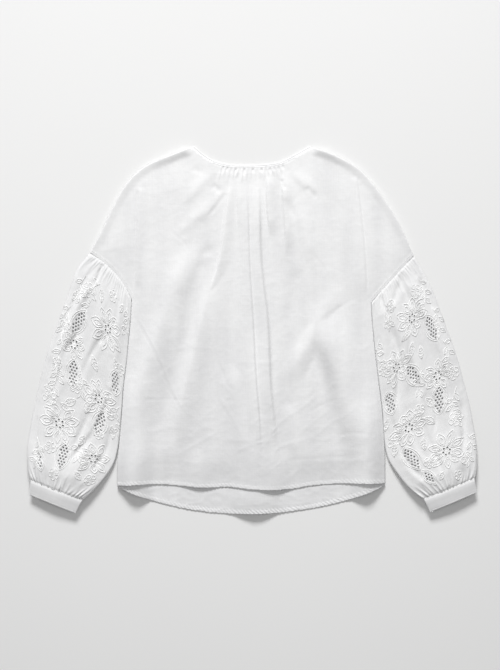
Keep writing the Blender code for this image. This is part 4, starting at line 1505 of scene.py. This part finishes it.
class Whitework:
    """Draws embroidery on the straightened sleeve and cuts its gaps."""

    def __init__(self, plan: SheetPlan, seed: int) -> None:
        """Starts a drawing on a sleeve's plan.

        Args:
            plan: The sleeve's plan.
            seed: Which random draws of many.
        """
        self.plan = plan
        self.nets: Sequence[Motif] = ()
        self.threads = Threads()
        self.random = np.random.default_rng(seed)

    def put(self, shape: np.ndarray, motif: Motif, turn: float) -> np.ndarray:
        """Turns a shape and moves it to a motif's place."""
        return turned(shape, turn) + (motif.along, motif.across)

    def line(self, points: np.ndarray, half: float = SATIN_HALF, height: float = SATIN_HEIGHT) -> None:
        """A satin line, slimmer at both ends.

        Args:
            points: Points of the plan.
            half: Half of its width.
            height: How high it stands.
        """
        part = np.linspace(0.0, 1.0, len(points))
        widths = half * (0.45 + 0.55 * np.minimum(smooth(part / 0.16), smooth((1 - part) / 0.16)))
        self.threads.run(points, widths, height)

    def blossom(self, motif: Motif) -> None:
        """Pointed petals round a ring of eyelets, each outlined twice.

        Args:
            motif: Where the motif is, and its turn and size.
        """
        outer = 8 if motif.size < 30 else 9
        for index in range(outer):
            turn = motif.turn + 20.0 + index * 360 / outer + self.random.uniform(-6, 6)
            size = motif.size * self.random.uniform(0.84, 1.12)
            tip = self.put(np.array([[size, 0.0]]), motif, turn)[0]
            if any(math.dist(tip, (net.along, net.across)) < 0.8 * net.size for net in self.nets):
                size *= 0.72
            width = 0.44 * motif.size * self.random.uniform(0.88, 1.08)
            bow = self.random.uniform(-0.16, 0.16) / motif.size
            for reach, share, start, half in ((1.04, 1.0, 0.3, 0.75), (0.84, 0.46, 0.4, 0.6)):
                shape = petal(reach * size, share * width, start * motif.size, 0.05, 11)
                shape[:, 1] += bow * shape[:, 0] ** 2
                self.line(self.put(shape, motif, turn), half, 1.05)
        for middle in self.eyelets(motif):
            self.threads.run(circle(middle, EYELET_RADIUS + 0.6, 12), 0.6, 0.8, True)
        self.threads.run(circle((motif.along, motif.across), 1.2, 8), 0.7, 0.5, True)
        self.threads.run(circle((motif.along, motif.across), EYELET_RING + 3.6, 26), 0.5, 0.45, True)

    def eyelets(self, motif: Motif) -> list[np.ndarray]:
        """Middles of the ring of eyelets in the heart of a blossom."""
        turns = [motif.turn + index * 360 / EYELET_COUNT for index in range(EYELET_COUNT)]
        return [self.put(np.array([[EYELET_RING, 0.0]]), motif, turn)[0] for turn in turns]

    def leaf(self, motif: Motif) -> None:
        """A large leaf: outline, midrib and slanting veins.

        Args:
            motif: Where the motif is, and its turn and size.
        """
        size = motif.size
        shape = petal(size, 0.46 * size, 0.0, 0.0, 11)
        self.line(self.put(shape, motif, motif.turn))
        rib = np.column_stack([np.linspace(0.0, 0.94 * size, 7), np.zeros(7)])
        self.line(self.put(rib, motif, motif.turn), 0.65, 0.9)
        for part in (0.2, 0.4, 0.6, 0.8):
            reach = 0.2 * size * math.sin(math.pi * part)
            for side in (-1, 1):
                out = size * part + reach * np.array([0.0, 0.35, 0.8])
                vein = np.column_stack([out, side * reach * np.array([0.0, 0.5, 1.0])])
                self.line(self.put(vein, motif, motif.turn), 0.55, 0.8)

    def sprig(self, motif: Motif) -> None:
        """A curved stem with small padded leaves on both sides and one at its tip.

        Args:
            motif: Where the motif is, and its turn and size.
        """
        bow = 0.16 * motif.size * (1 if self.random.uniform() < 0.5 else -1)
        part = np.linspace(0.0, 1.0, 13)
        stem = np.column_stack([motif.size * part, bow * np.sin(math.pi * part)])
        self.line(self.put(stem, motif, motif.turn), 0.75, 1.0)
        steps = headings(stem)
        count = max(3, round(motif.size / 8.5))
        for index in range(count):
            at = 2 + round(index * 9 / max(1, count - 1))
            spot = self.put(stem[at : at + 1], motif, motif.turn)[0]
            side = 1 if index % 2 else -1
            lean = degrees_of(steps[at]) + motif.turn + side * self.random.uniform(42, 72)
            small = Motif(Spray.BUD, spot[0], spot[1], lean, self.random.uniform(12.0, 16.5))
            self.leaflet(small)
        tip = self.put(stem[-1:], motif, motif.turn)[0]
        lean = degrees_of(steps[-1]) + motif.turn
        self.leaflet(Motif(Spray.BUD, tip[0], tip[1], lean, 13.0))

    def leaflet(self, motif: Motif) -> None:
        """A small leaf with its outline and one vein.

        Args:
            motif: Where the motif is, and its turn and size.
        """
        shape = petal(motif.size, 0.46 * motif.size, 0.0, 0.0, 8)
        self.line(self.put(shape, motif, motif.turn), 0.7, 0.95)
        rib = np.column_stack([np.linspace(0.15, 0.85, 3) * motif.size, np.zeros(3)])
        self.line(self.put(rib, motif, motif.turn), 0.5, 0.7)

    def bud(self, motif: Motif) -> None:
        """A small flower of five petals with one eyelet.

        Args:
            motif: Where the motif is, and its turn and size.
        """
        for index in range(5):
            turn = motif.turn + index * 72 + self.random.uniform(-6, 6)
            shape = petal(motif.size, 0.8 * motif.size, 0.26 * motif.size, 0.6, 6)
            self.line(self.put(shape, motif, turn), 0.7, 0.9)
        self.threads.run(circle((motif.along, motif.across), 1.7, 8), 0.6, 0.65, True)

    def openwork(self, motif: Motif) -> None:
        """A pointed oval of net inside a double satin edge.

        Args:
            motif: Where the motif is, and its turn and size.
        """
        half, width = motif.size, 0.5 * motif.size
        part = np.linspace(-1.0, 1.0, 17)
        bulge = (1 - np.abs(part) ** 2.1) ** 0.85
        edge = np.column_stack([np.r_[part, part[-2:0:-1]], np.r_[bulge, -bulge[-2:0:-1]]])
        for more in (0.0, NET_EDGES):
            ring = self.put(edge * (half + more, width + more), motif, motif.turn)
            self.threads.run(ring, 0.65, 0.85, True)
        along = 0.87 * NET_PITCH
        rows, columns = int(half / along) + 1, int(width / NET_PITCH) + 1
        for row in range(-rows, rows + 1):
            for column in range(-columns, columns + 1):
                spot = np.array([row * along, (column + 0.5 * (row % 2)) * NET_PITCH])
                part = abs(spot[0]) / half
                if part > 0.92 or abs(spot[1]) > width * (1 - part**2.1) ** 0.85 - NET_CLEAR:
                    continue
                centre = self.put(spot[None, :], motif, motif.turn)[0]
                self.plan.add_gap(circle(centre, NET_HOLE, 8))

    def draw(self, motifs: Sequence[Motif]) -> None:
        """Draws all the motifs of a sleeve and cuts its gaps.

        Args:
            motifs: The motifs, in the order that they are drawn.
        """
        self.nets = [motif for motif in motifs if motif.kind is Spray.NET]
        for motif in motifs:
            if motif.kind is Spray.BLOSSOM:
                for middle in self.eyelets(motif):
                    self.plan.add_gap(circle(middle, EYELET_RADIUS, 12))
        works = {
            Spray.BLOSSOM: self.blossom,
            Spray.NET: self.openwork,
            Spray.LEAF: self.leaf,
            Spray.SPRIG: self.sprig,
            Spray.BUD: self.bud,
        }
        for motif in motifs:
            works[motif.kind](motif)


@dataclass
class Sleeve:
    """A full sleeve, its whitework and its cuff."""

    name: str
    side: int
    outer: Table
    seam: Table
    inner: Table
    cuff: Table
    motifs: tuple[Motif, ...]
    folds: tuple[Crease, ...]
    creases: tuple[Crease, ...]
    seed: int
    spacing: float = 3.4
    crown: float = 4.5
    lift_length: float = 150.0
    seam_gathers: int = 30
    cuff_gathers: int = 16
    cloth: float = 0.4
    tuck: float = 2.0
    sharpness: float = 1.35
    cuff_thickness: float = 4.2
    cuff_wall: float = 0.7
    cuff_depth: float = 26.0
    cuff_round: float = 195.0
    cuff_flat: float = 2.4
    cuff_stitch: StitchRow = StitchRow(1.9, 2.8, 0.3, 0.2, 0.28)

    def __post_init__(self) -> None:
        """Keeps the four edges of its flat shape."""
        outer = curve(self.outer, count=80)
        seam = offset(curve(self.seam, count=41), -self.side * SEAM_GAP)
        inner = offset(curve(self.inner, count=80), -self.side * SIDE_GAP)
        cuff = curve(self.cuff[:2], count=30)
        outer = self.bent(outer[::-1], seam[0])[::-1]
        seam = self.bent(seam, inner[0])
        inner = self.bent(inner, cuff[-1])
        self.edges = (outer, inner, seam, cuff)

    def bent(self, line: np.ndarray, target: np.ndarray) -> np.ndarray:
        """A line whose last stretch is bent to end at the target."""
        part = smooth(np.linspace(0, 1, len(line)) * 8 - 7)[:, None]
        return line + (target - line[-1]) * part

    def ground(self, flat: np.ndarray) -> np.ndarray:
        """Where points of the straightened sleeve lie on the surface.

        Args:
            flat: Points of the plan.

        Returns:
            The points on the surface.
        """
        outer, inner, seam, cuff = self.edges
        u = np.clip(flat[:, 0] / SLEEVE_LENGTH, 0, 1)
        v = np.clip(flat[:, 1] / SLEEVE_WIDTH, 0, 1)
        sides = (1 - v)[:, None] * read_line(outer, u) + v[:, None] * read_line(inner, u)
        ends = (1 - u)[:, None] * read_line(seam, v) + u[:, None] * read_line(cuff, v)
        corners = (
            ((1 - u) * (1 - v))[:, None] * outer[0]
            + (u * (1 - v))[:, None] * outer[-1]
            + ((1 - u) * v)[:, None] * inner[0]
            + (u * v)[:, None] * inner[-1]
        )
        beyond = (flat[:, 0] - u * SLEEVE_LENGTH)[:, None]
        at_seam = unit(outer[1] - outer[0])
        at_cuff = unit(np.array(self.cuff[3]) - self.cuff[0])
        return sides + ends - corners + np.where(beyond < 0, beyond * at_seam, beyond * at_cuff)

    def rise(self, flat: np.ndarray) -> np.ndarray:
        """Height to which the cuff lifts the sleeve.

        Args:
            flat: Points of the plan.

        Returns:
            The height at each point.
        """
        across = np.clip(flat[:, 1] / SLEEVE_WIDTH, 0, 1)
        part = smooth(1 - (SLEEVE_LENGTH - flat[:, 0]) / self.lift_length)
        return part * (CUFF_LIFT + CUFF_BOW * np.sin(np.pi * across))

    def gather_lines(
        self,
        start: float,
        way: int,
        count: int,
        length: float,
    ) -> Iterator[tuple[np.ndarray, float, float]]:
        """Gathers at one end of the sleeve, all uneven.

        Args:
            start: Where along the sleeve they start.
            way: 1 where they run towards the cuff, -1 where they run towards the seam.
            count: How many there are.
            length: How long the longest is.

        Yields:
            The line, the share of the full height and the width of each.
        """
        random = np.random.default_rng(self.seed + count)
        pitch = SLEEVE_WIDTH / count
        for index in range(count):
            across = (index + 0.5 + random.uniform(-0.3, 0.3)) * pitch
            reach = length * random.uniform(0.35, 1.0)
            spread = 0.12 * (across - SLEEVE_WIDTH / 2) + random.uniform(-6, 6)
            halfway = (start + way * reach / 2, across + 0.5 * spread + random.uniform(-1.5, 1.5))
            line = np.array([(start, across), halfway, (start + way * reach, across + spread)])
            yield line, random.uniform(0.5, 1.3), pitch * random.uniform(0.18, 0.32)

    def gathers(self, flat: np.ndarray) -> np.ndarray:
        """Height of the gathers at both ends.

        Args:
            flat: Points of the plan.

        Returns:
            The height at each point.
        """
        total = np.zeros(len(flat))
        ends = (
            (0.0, 1, self.seam_gathers, 46.0, 1.6),
            (SLEEVE_LENGTH, -1, self.cuff_gathers, 56.0, 2.7),
        )
        for start, way, count, length, height in ends:
            rows = np.flatnonzero(np.abs(flat[:, 0] - start) < 1.2 * length)
            for line, size, width in self.gather_lines(start, way, count, length):
                gap, part = nearest(flat[rows], line)
                ridge = height * size * (0.3 + 0.7 * smooth(part / 0.22)) * (1 - part) ** 1.2
                ridge *= bell(gap, width * (0.85 + 0.9 * part))
                total[rows] = np.maximum(total[rows], ridge)
        return total

    def place(self, flat: np.ndarray) -> np.ndarray:
        """Upper face of the sleeve's top half.

        Args:
            flat: Points of the plan.

        Returns:
            The points in space.
        """
        across = np.clip(flat[:, 1], 0.0, SLEEVE_WIDTH)
        rim = np.minimum(across, SLEEVE_WIDTH - across)
        at_seam = flat[:, 0]
        at_cuff = SLEEVE_LENGTH - flat[:, 0]
        ends = smooth(at_seam / 40.0) * smooth(at_cuff / 40.0)
        crown = self.crown * smooth(rim / 34.0) * (0.15 + 0.85 * ends)
        folds = 0.8 * ends * together(flat, self.folds, np.maximum) * smooth(rim / 11.0)
        crumple = 0.55 * puckers(flat, (30.0, 11.0), self.seed, 3)
        crumple += 0.5 * noise(flat, (52.0, 18.0), self.seed + 1)
        crumple *= smooth(rim / 9.0) * smooth(at_seam / 12.0) * smooth(at_cuff / 12.0)
        near_edge = smooth(np.minimum(across / 4.5, (SLEEVE_WIDTH - across) / 1.8))
        drop = (WALL + LAYER - EDGE_TOP) * (1 - near_edge) * smooth(at_cuff / 30.0)
        tucked = 1.15 * fading(at_seam + 1.0, 4.0) + fading(at_cuff + 1.0, 5.0)
        ground = self.ground(flat)
        sharp = self.sharpness * together(ground, self.creases, np.add) * smooth(rim / 8.0)
        sharp *= smooth(at_cuff / 14.0) * smooth(at_seam / 6.0)
        height = soft_floor(crown + np.maximum(folds, self.gathers(flat)) + crumple + sharp, 0.4)
        lift = 1.04 * self.rise(flat)
        return np.column_stack([ground, LAYER + WALL - drop - tucked + lift + height])

    def place_under(self, flat: np.ndarray) -> np.ndarray:
        """Upper face of the sleeve's under half."""
        return np.column_stack([self.ground(flat), self.cloth + self.rise(flat)])

    def outline(self, step: float, inset: float) -> np.ndarray:
        """Outline of the straightened sleeve.

        Args:
            step: Spacing of its points.
            inset: How far its long edges are drawn in.

        Returns:
            The closed outline's points.
        """
        low, high = -self.tuck, SLEEVE_LENGTH + self.tuck
        near, far = inset, SLEEVE_WIDTH - inset
        across = np.linspace(near, far, round(SLEEVE_WIDTH / step) + 1)
        along = np.linspace(low, high, round(SLEEVE_LENGTH / step) + 1)[1:-1]
        runs = (
            (np.full(len(across), low), across),
            (along, np.full(len(along), far)),
            (np.full(len(across), high), across[::-1]),
            (along[::-1], np.full(len(along), near)),
        )
        return np.concatenate([np.column_stack(run) for run in runs])

    def needs_fine(self, plan: SheetPlan, points: np.ndarray) -> np.ndarray:
        """Where the top half's form is finer than its coarse lattice: its gathers, edges and gaps.

        Args:
            plan: The sleeve's plan.
            points: Points of the plan.

        Returns:
            True where the fine lattice is needed.
        """
        gathered = (points[:, 0] < 34.0) | (points[:, 0] > SLEEVE_LENGTH - 42.0)
        rim = np.minimum(points[:, 1], SLEEVE_WIDTH - points[:, 1])
        return gathered | (rim < 3.5) | plan.near_gap(points, 2.4)

    def build(self) -> list[bpy.types.Object]:
        """Makes the sleeve, its embroidery and its cuff.

        Returns:
            The pieces made.
        """
        top = SheetPlan(self.outline(1.9, 0.0))
        work = Whitework(top, self.seed)
        work.draw(self.motifs)
        top.fill(self.spacing, lambda points: self.needs_fine(top, points))
        flat, faces = top.triangles()
        under = SheetPlan(self.outline(6.0, 1.4))
        under.fill(12.0, lambda points: points[:, 0] > 290)
        under_flat, under_faces = under.triangles()
        sleeve = add_shells(
            f"sleeve_{self.name}",
            [
                Shell(self.place(flat), faces, flat, self.cloth),
                Shell(self.place_under(under_flat), under_faces, under_flat + (0.0, 170.0), self.cloth),
            ],
        )
        embroidery = work.threads.lay(f"embroidery_{self.name}", self.place)
        nodes = (f"sleeve_{self.name}_top", f"sleeve_{self.name}_under")
        voile = Cotton(f"sleeve_{self.name}_voile", VOILE_LIGHT, VOILE_DARK, VOILE_THIN)
        finish_piece(sleeve, voile, nodes)
        finish_piece(embroidery, SatinThread(f"whitework_thread_{self.name}"))
        return [sleeve, embroidery, *self.build_cuff()]

    def cuff_surface(self, around: np.ndarray, along: np.ndarray, inward: float) -> np.ndarray:
        """Points of the cuff, a band pressed flat.

        Args:
            around: Parts of the way round, from 0 to 1.
            along: Parts of the way from the sleeve to the hand.
            inward: How far inside the outer face.

        Returns:
            The points.
        """
        near_outer, near_inner, far_inner, far_outer = (np.array(point) for point in self.cuff)
        part = along[:, None]
        outer = near_outer + part * (far_outer - near_outer)
        inner = near_inner + part * (far_inner - near_inner)
        radius = self.cuff_thickness / 2 - inward
        width = np.linalg.norm(inner - outer, axis=1)
        run = (width - self.cuff_thickness) / 2
        turn = 2 * math.pi * around
        across = np.clip(self.cuff_flat * np.cos(turn), -1, 1)
        sweep = np.clip((self.cuff_flat * np.abs(np.cos(turn)) - 1) / (self.cuff_flat - 1), 0, 1)
        x = across * run + np.sign(np.cos(turn)) * radius * np.sin(np.pi / 2 * sweep)
        up = np.sign(np.sin(turn)) * radius * np.cos(np.pi / 2 * sweep)
        way = (inner - outer) / width[:, None]
        ground = (outer + inner) / 2 + x[:, None] * way
        share = 0.5 + x / width
        rise = CUFF_LIFT + CUFF_BOW * np.sin(np.pi * np.clip(share, 0, 1))
        middle = rise + (WALL + LAYER) / 2
        on_top = (up > 0).astype(float)
        edge = np.minimum(along, 1 - along) * self.cuff_depth
        groove = 0.3 * bell(edge - 2.2, 0.7) + 0.35 * fading(edge, 1.0)
        spots = np.column_stack([share * 100.0, along * self.cuff_depth])
        pucker = 0.22 * noise(spots, (9.0, 16.0), self.seed + 7) * fading(edge, 9.0)
        soft = 0.35 * noise(spots, (30.0, 24.0), self.seed + 8)
        slope = 0.5 * smooth(along / 0.15) - 3.2 * smooth((along - 0.12) / 1.15)
        relief = on_top * (pucker + soft - groove + slope) * np.clip(np.abs(up) / radius, 0, 1)
        return np.column_stack([ground, middle + up + relief])

    def build_cuff(self) -> list[bpy.types.Object]:
        """Makes the cuff and its two rows of stitches.

        Returns:
            The pieces made.
        """
        around_count, along_count = 150, 22
        around = np.arange(around_count) / around_count
        along = np.linspace(-0.02, 1.0, along_count)
        grid_around, grid_along = (grid.ravel() for grid in np.meshgrid(around, along))
        outside = self.cuff_surface(grid_around, grid_along, 0.0)
        inside_wall = self.cuff_surface(grid_around, grid_along, self.cuff_wall)
        numbers = np.arange(around_count * along_count).reshape(along_count, around_count)
        shift = numbers.size
        faces = tube_faces(numbers)
        faces += [face[::-1] for face in tube_faces(numbers + shift)]
        for ring, flip in ((numbers[0], 1), (numbers[-1], -1)):
            after = np.roll(ring, -1)
            rim = np.stack([ring, ring + shift, after + shift, after], axis=-1)
            faces += [tuple(face)[::flip] for face in rim.tolist()]
        faces = [face[:: -self.side] for face in faces]
        plan = np.column_stack([grid_around * self.cuff_round, grid_along * self.cuff_depth])
        corners = np.concatenate([outside, inside_wall])
        cuff = add_mesh(f"cuff_band_{self.name}", corners, faces, np.tile(plan, (2, 1)))
        thread = Threads()
        for inward in (2.2, self.cuff_depth - 2.2):
            row = np.column_stack([np.linspace(4.0, 96.0, 24), np.full(24, inward)])
            self.cuff_stitch.sew(thread, row)
        stitches = thread.lay(f"cuff_stitches_{self.name}", self.on_cuff)
        finish_piece(cuff, Cotton(f"cuff_cotton_{self.name}"), (f"cuff_{self.name}",))
        finish_piece(stitches, SatinThread(f"cuff_thread_{self.name}"))
        return [cuff, stitches]

    def on_cuff(self, spots: np.ndarray) -> np.ndarray:
        """Upper face of the cuff, from millimetres across and along it.

        Args:
            spots: Millimetres across the cuff and along it.

        Returns:
            The points in space.
        """
        across = np.clip(spots[:, 0] / 50.0 - 1.0, -1, 1) / self.cuff_flat
        around = np.arccos(across) / (2 * math.pi)
        return self.cuff_surface(around, spots[:, 1] / self.cuff_depth, 0.0)


LEFT_SLEEVE = Sleeve(
    name="left",
    side=-1,
    outer=(
        (-291.5, 138.5), (-315, 108), (-329, 68), (-350, 9), (-369, -45), (-383, -99), (-392, -142),
        (-399, -182), (-403, -219), (-402, -246), (-397, -269),
    ),
    seam=LEFT_SEAM,
    inner=tuple(LEFT_SIDE[:7]) + ((-242, -222), (-246, -236), (-262, -263), (-283, -287), (-303, -305)),
    cuff=((-397, -269), (-303, -305), (-317, -329), (-399, -296)),
    motifs=(
        *scattered(
            Spray.BLOSSOM,
            (92, 96, 10, 36), (150, 40, 35, 23), (214, 104, 0, 31), (286, 46, 20, 35),
            (318, 116, 50, 29),
        ),
        *scattered(
            Spray.NET,
            (112, 36, 165, 22), (196, 52, 190, 22), (254, 112, 170, 22), (336, 66, 185, 22),
            (168, 132, 8, 20), (358, 26, 20, 15),
        ),
        *scattered(
            Spray.LEAF,
            (150, 76, 40, 27), (236, 66, -50, 25), (250, 84, 170, 24), (128, 122, 30, 24),
            (60, 70, 200, 24), (286, 92, -20, 22), (352, 96, 60, 22), (270, 138, 190, 24),
            (180, 20, 20, 22), (48, 116, 160, 20), (66, 16, -14, 20), (252, 40, 70, 20),
        ),
        *scattered(
            Spray.SPRIG,
            (36, 22, 14, 52), (186, 12, 10, 56), (146, 12, 8, 38), (34, 56, -24, 30),
            (302, 84, 24, 36), (26, 134, 4, 40), (206, 144, 2, 46), (92, 14, -4, 44),
            (184, 62, 12, 36), (322, 14, 6, 42),
        ),
        *scattered(
            Spray.BUD,
            (252, 22, 0, 12), (128, 14, 30, 11), (356, 130, 10, 11), (214, 60, 40, 11),
            (54, 36, 20, 12), (372, 60, 0, 11), (272, 112, 10, 10), (34, 92, 50, 10),
            (330, 40, 0, 10), (140, 138, 15, 10),
        ),
    ),
    folds=(
        Crease(3.6, 11, ((20, 62), (110, 74), (210, 66), (300, 76), (380, 70)), 0.8),
        Crease(3.0, 10, ((16, 104), (96, 118), (176, 128), (250, 130)), 0.8),
        Crease(3.2, 10, ((24, 30), (120, 24), (220, 30), (320, 26), (384, 36)), 1.2),
        Crease(3.4, 9, ((388, 104), (320, 98), (240, 92), (170, 94)), 1.0),
    ),
    creases=(
        Crease(
            -1.7, 4.5,
            ((-274, 126), (-290, 104), (-305, 81), (-323, 45), (-341, 5), (-354, -40)),
            0.8, 0.25,
        ),
        Crease(-1.8, 3.0, ((-268, 120), (-276, 96), (-284, 78)), 1.0, 0.1),
        Crease(-2.4, 5.5, ((-296, 18), (-318, -13), (-336, -40), (-345, -81), (-358, -126)), 0.8),
        Crease(-2.2, 5.5, ((-260, 0), (-278, -27), (-296, -58), (-309, -99)), 1.0),
        Crease(
            -2.6, 4.5,
            ((-237, -86), (-260, -126), (-274, -162), (-296, -198), (-327, -234), (-343, -262)),
            0.8,
        ),
        Crease(-2.0, 4.0, ((-284, -130), (-300, -170), (-318, -206), (-338, -244)), 1.2),
        Crease(-1.6, 2.6, ((-357, -144), (-354, -207), (-352, -262))),
        Crease(-2.0, 4.5, ((-386, -150), (-388, -200), (-378, -244)), 1.0),
        Crease(-2.0, 4.5, ((-250, -170), (-262, -214), (-290, -258)), 1.0),
        Crease(1.8, 5.0, ((-244, -100), (-268, -140), (-282, -176), (-304, -210)), 1.0),
        Crease(1.6, 5.0, ((-282, 86), (-312, 44), (-330, 4), (-344, -40)), 1.0),
        Crease(-1.5, 3.5, ((-238, 60), (-244, 20), (-250, -10)), 1.0),
        Crease(-1.4, 3.2, ((-330, -150), (-322, -190), (-330, -226)), 1.0),
    ),
    seed=101,
)
RIGHT_SLEEVE = Sleeve(
    name="right",
    side=1,
    outer=(
        (291, 133), (311, 99), (327, 67), (339, 34), (354, -7), (370, -53), (381, -94), (389, -124),
        (397, -168), (402, -202), (403, -228), (402, -252), (399, -266),
    ),
    seam=RIGHT_SEAM,
    inner=tuple(RIGHT_SIDE[:6]) + ((241, -222), (245, -234), (259, -256), (278, -280), (307, -303)),
    cuff=((399, -266), (307, -303), (320, -327), (403, -292)),
    motifs=(
        *scattered(
            Spray.BLOSSOM,
            (84, 60, 25, 34), (146, 112, 0, 32), (200, 42, 40, 27), (262, 106, 15, 33),
            (330, 56, 30, 32),
        ),
        *scattered(
            Spray.NET,
            (120, 28, 175, 22), (176, 84, 160, 22), (240, 48, 190, 22), (316, 116, 170, 22),
            (200, 134, -6, 20), (362, 104, -15, 16),
        ),
        *scattered(
            Spray.LEAF,
            (122, 70, 30, 26), (226, 70, -30, 25), (276, 62, 140, 24), (108, 92, -110, 22),
            (290, 86, 10, 22), (46, 88, 150, 24), (158, 62, 190, 22), (300, 140, 200, 24),
            (226, 140, 20, 22), (362, 72, 50, 20),
        ),
        *scattered(
            Spray.SPRIG,
            (32, 18, 14, 50), (148, 16, 6, 44), (234, 14, 10, 56), (24, 112, -4, 40),
            (76, 138, 4, 46), (92, 14, 2, 40), (176, 66, 20, 34), (318, 14, 4, 44),
        ),
        *scattered(
            Spray.BUD,
            (284, 28, 0, 12), (48, 34, 30, 12), (356, 24, 10, 11), (240, 84, 20, 10),
            (210, 14, 20, 11), (134, 138, 0, 11), (336, 92, 20, 10), (274, 134, 10, 11),
            (60, 112, 5, 11), (380, 46, 5, 9),
        ),
    ),
    folds=(
        Crease(3.6, 11, ((22, 84), (110, 82), (200, 76), (290, 84), (384, 74)), 0.8),
        Crease(3.2, 10, ((18, 44), (90, 32), (170, 22), (250, 28)), 1.2),
        Crease(3.0, 10, ((30, 120), (130, 130), (230, 128), (320, 118), (386, 108)), 0.8),
        Crease(3.4, 9, ((388, 38), (310, 32), (240, 44), (180, 52))),
    ),
    creases=(
        Crease(-1.3, 4.2, ((262, 110), (267, 92), (276, 66), (290, 34)), 0.8, 0.3),
        Crease(-1.2, 4.5, ((266, 88), (259, 66), (253, 40)), 1.0, 0.3),
        Crease(-1.2, 3.6, ((229, 68), (238, 41), (248, 16)), 1.0, 0.3),
        Crease(-2.6, 5.0, ((243, 16), (257, -20), (263, -45), (263, -81), (261, -117), (270, -160)), 0.8),
        Crease(-2.2, 4.5, ((281, -47), (290, -79), (297, -99), (300, -134)), 1.0),
        Crease(-2.4, 5.0, ((250, -150), (262, -200), (288, -250), (322, -276)), 0.9),
        Crease(-2.2, 4.5, ((300, -146), (316, -196), (338, -246), (347, -268)), 1.2),
        Crease(-2.0, 4.5, ((374, -120), (380, -180), (374, -240)), 1.0),
        Crease(-1.8, 4.0, ((342, -56), (354, -120), (356, -186)), 1.0),
        Crease(1.7, 5.0, ((274, 30), (276, -20), (276, -70), (280, -120)), 1.0),
        Crease(-1.6, 3.5, ((300, 96), (316, 60), (326, 26)), 1.0),
        Crease(1.6, 5.0, ((272, -170), (292, -214), (322, -252)), 1.0),
        Crease(-1.4, 3.0, ((322, -110), (330, -150), (326, -190)), 1.0),
    ),
    seed=202,
)


@dataclass(frozen=True)
class Lamp:
    """A soft rectangular lamp, in metres and watts."""

    name: str
    place: tuple[float, float, float]
    size: Pair
    power: float

    def build(self) -> None:
        """Hangs the lamp and aims it at the middle of the blouse."""
        data = bpy.data.lights.new(self.name, "AREA")
        data.shape = "RECTANGLE"
        data.size, data.size_y = self.size
        data.energy = self.power
        lamp = bpy.data.objects.new(self.name, data)
        lamp.visible_camera = False
        lamp.location = self.place
        aim = Vector((0.0, -0.05, 0.0)) - Vector(self.place)
        lamp.rotation_euler = aim.to_track_quat("-Z", "Y").to_euler()
        bpy.context.scene.collection.objects.link(lamp)


@dataclass(frozen=True)
class Studio:
    """Pale floor, soft light from above the neck, and a camera straight overhead, in metres."""

    camera_height: float = 2.6
    view_height: float = 1.206
    centre: Pair = (-0.0035, -0.0092)
    sensor: float = 36.0
    floor_half: float = 6.0
    floor_level: float = -0.0002
    room_light: float = 0.24
    lamps: tuple[Lamp, ...] = (
        Lamp("key", (-0.5, 5.18, 3.02), (2.0, 1.5), 432.0),
        Lamp("fill", (0.0, -0.1, 1.7), (1.1, 1.1), 6.0),
    )

    def build_floor(self) -> None:
        """A wide plain surface just below the cloth."""
        made = bpy.data.meshes.new("floor")
        corners = [
            (x * self.floor_half, y * self.floor_half, self.floor_level)
            for x, y in ((-1, -1), (1, -1), (1, 1), (-1, 1))
        ]
        made.from_pydata(corners, [], [(0, 1, 2, 3)])
        floor = bpy.data.objects.new("floor", made)
        bpy.context.scene.collection.objects.link(floor)
        floor.data.materials.append(PaleFloor().material())

    def build(self) -> None:
        """Sets up the floor, the light and the camera."""
        self.build_floor()
        for lamp in self.lamps:
            lamp.build()
        world = bpy.data.worlds.new("studio")
        world.use_nodes = True
        world.node_tree.nodes["Background"].inputs["Color"].default_value = (1.0, 1.0, 1.0, 1.0)
        world.node_tree.nodes["Background"].inputs["Strength"].default_value = self.room_light
        bpy.context.scene.world = world
        bpy.context.scene.view_settings.view_transform = "Standard"
        data = bpy.data.cameras.new("overhead")
        data.sensor_width = self.sensor
        data.lens = self.sensor * self.camera_height / self.view_height
        camera = bpy.data.objects.new("overhead", data)
        camera.location = (*self.centre, self.camera_height)
        bpy.context.scene.collection.objects.link(camera)
        bpy.context.scene.camera = camera


def main() -> None:
    """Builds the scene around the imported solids."""
    logging.basicConfig(level=logging.INFO, format="%(name)s: %(message)s")
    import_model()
    Studio().build()
    pieces = [*BackPanel().build(), *FrontPanel().build(), *NeckBinding().build()]
    for sleeve in (LEFT_SLEEVE, RIGHT_SLEEVE):
        pieces += sleeve.build()
    LOG.info("%d pieces in all", len(pieces))


if __name__ == "__main__":
    main()
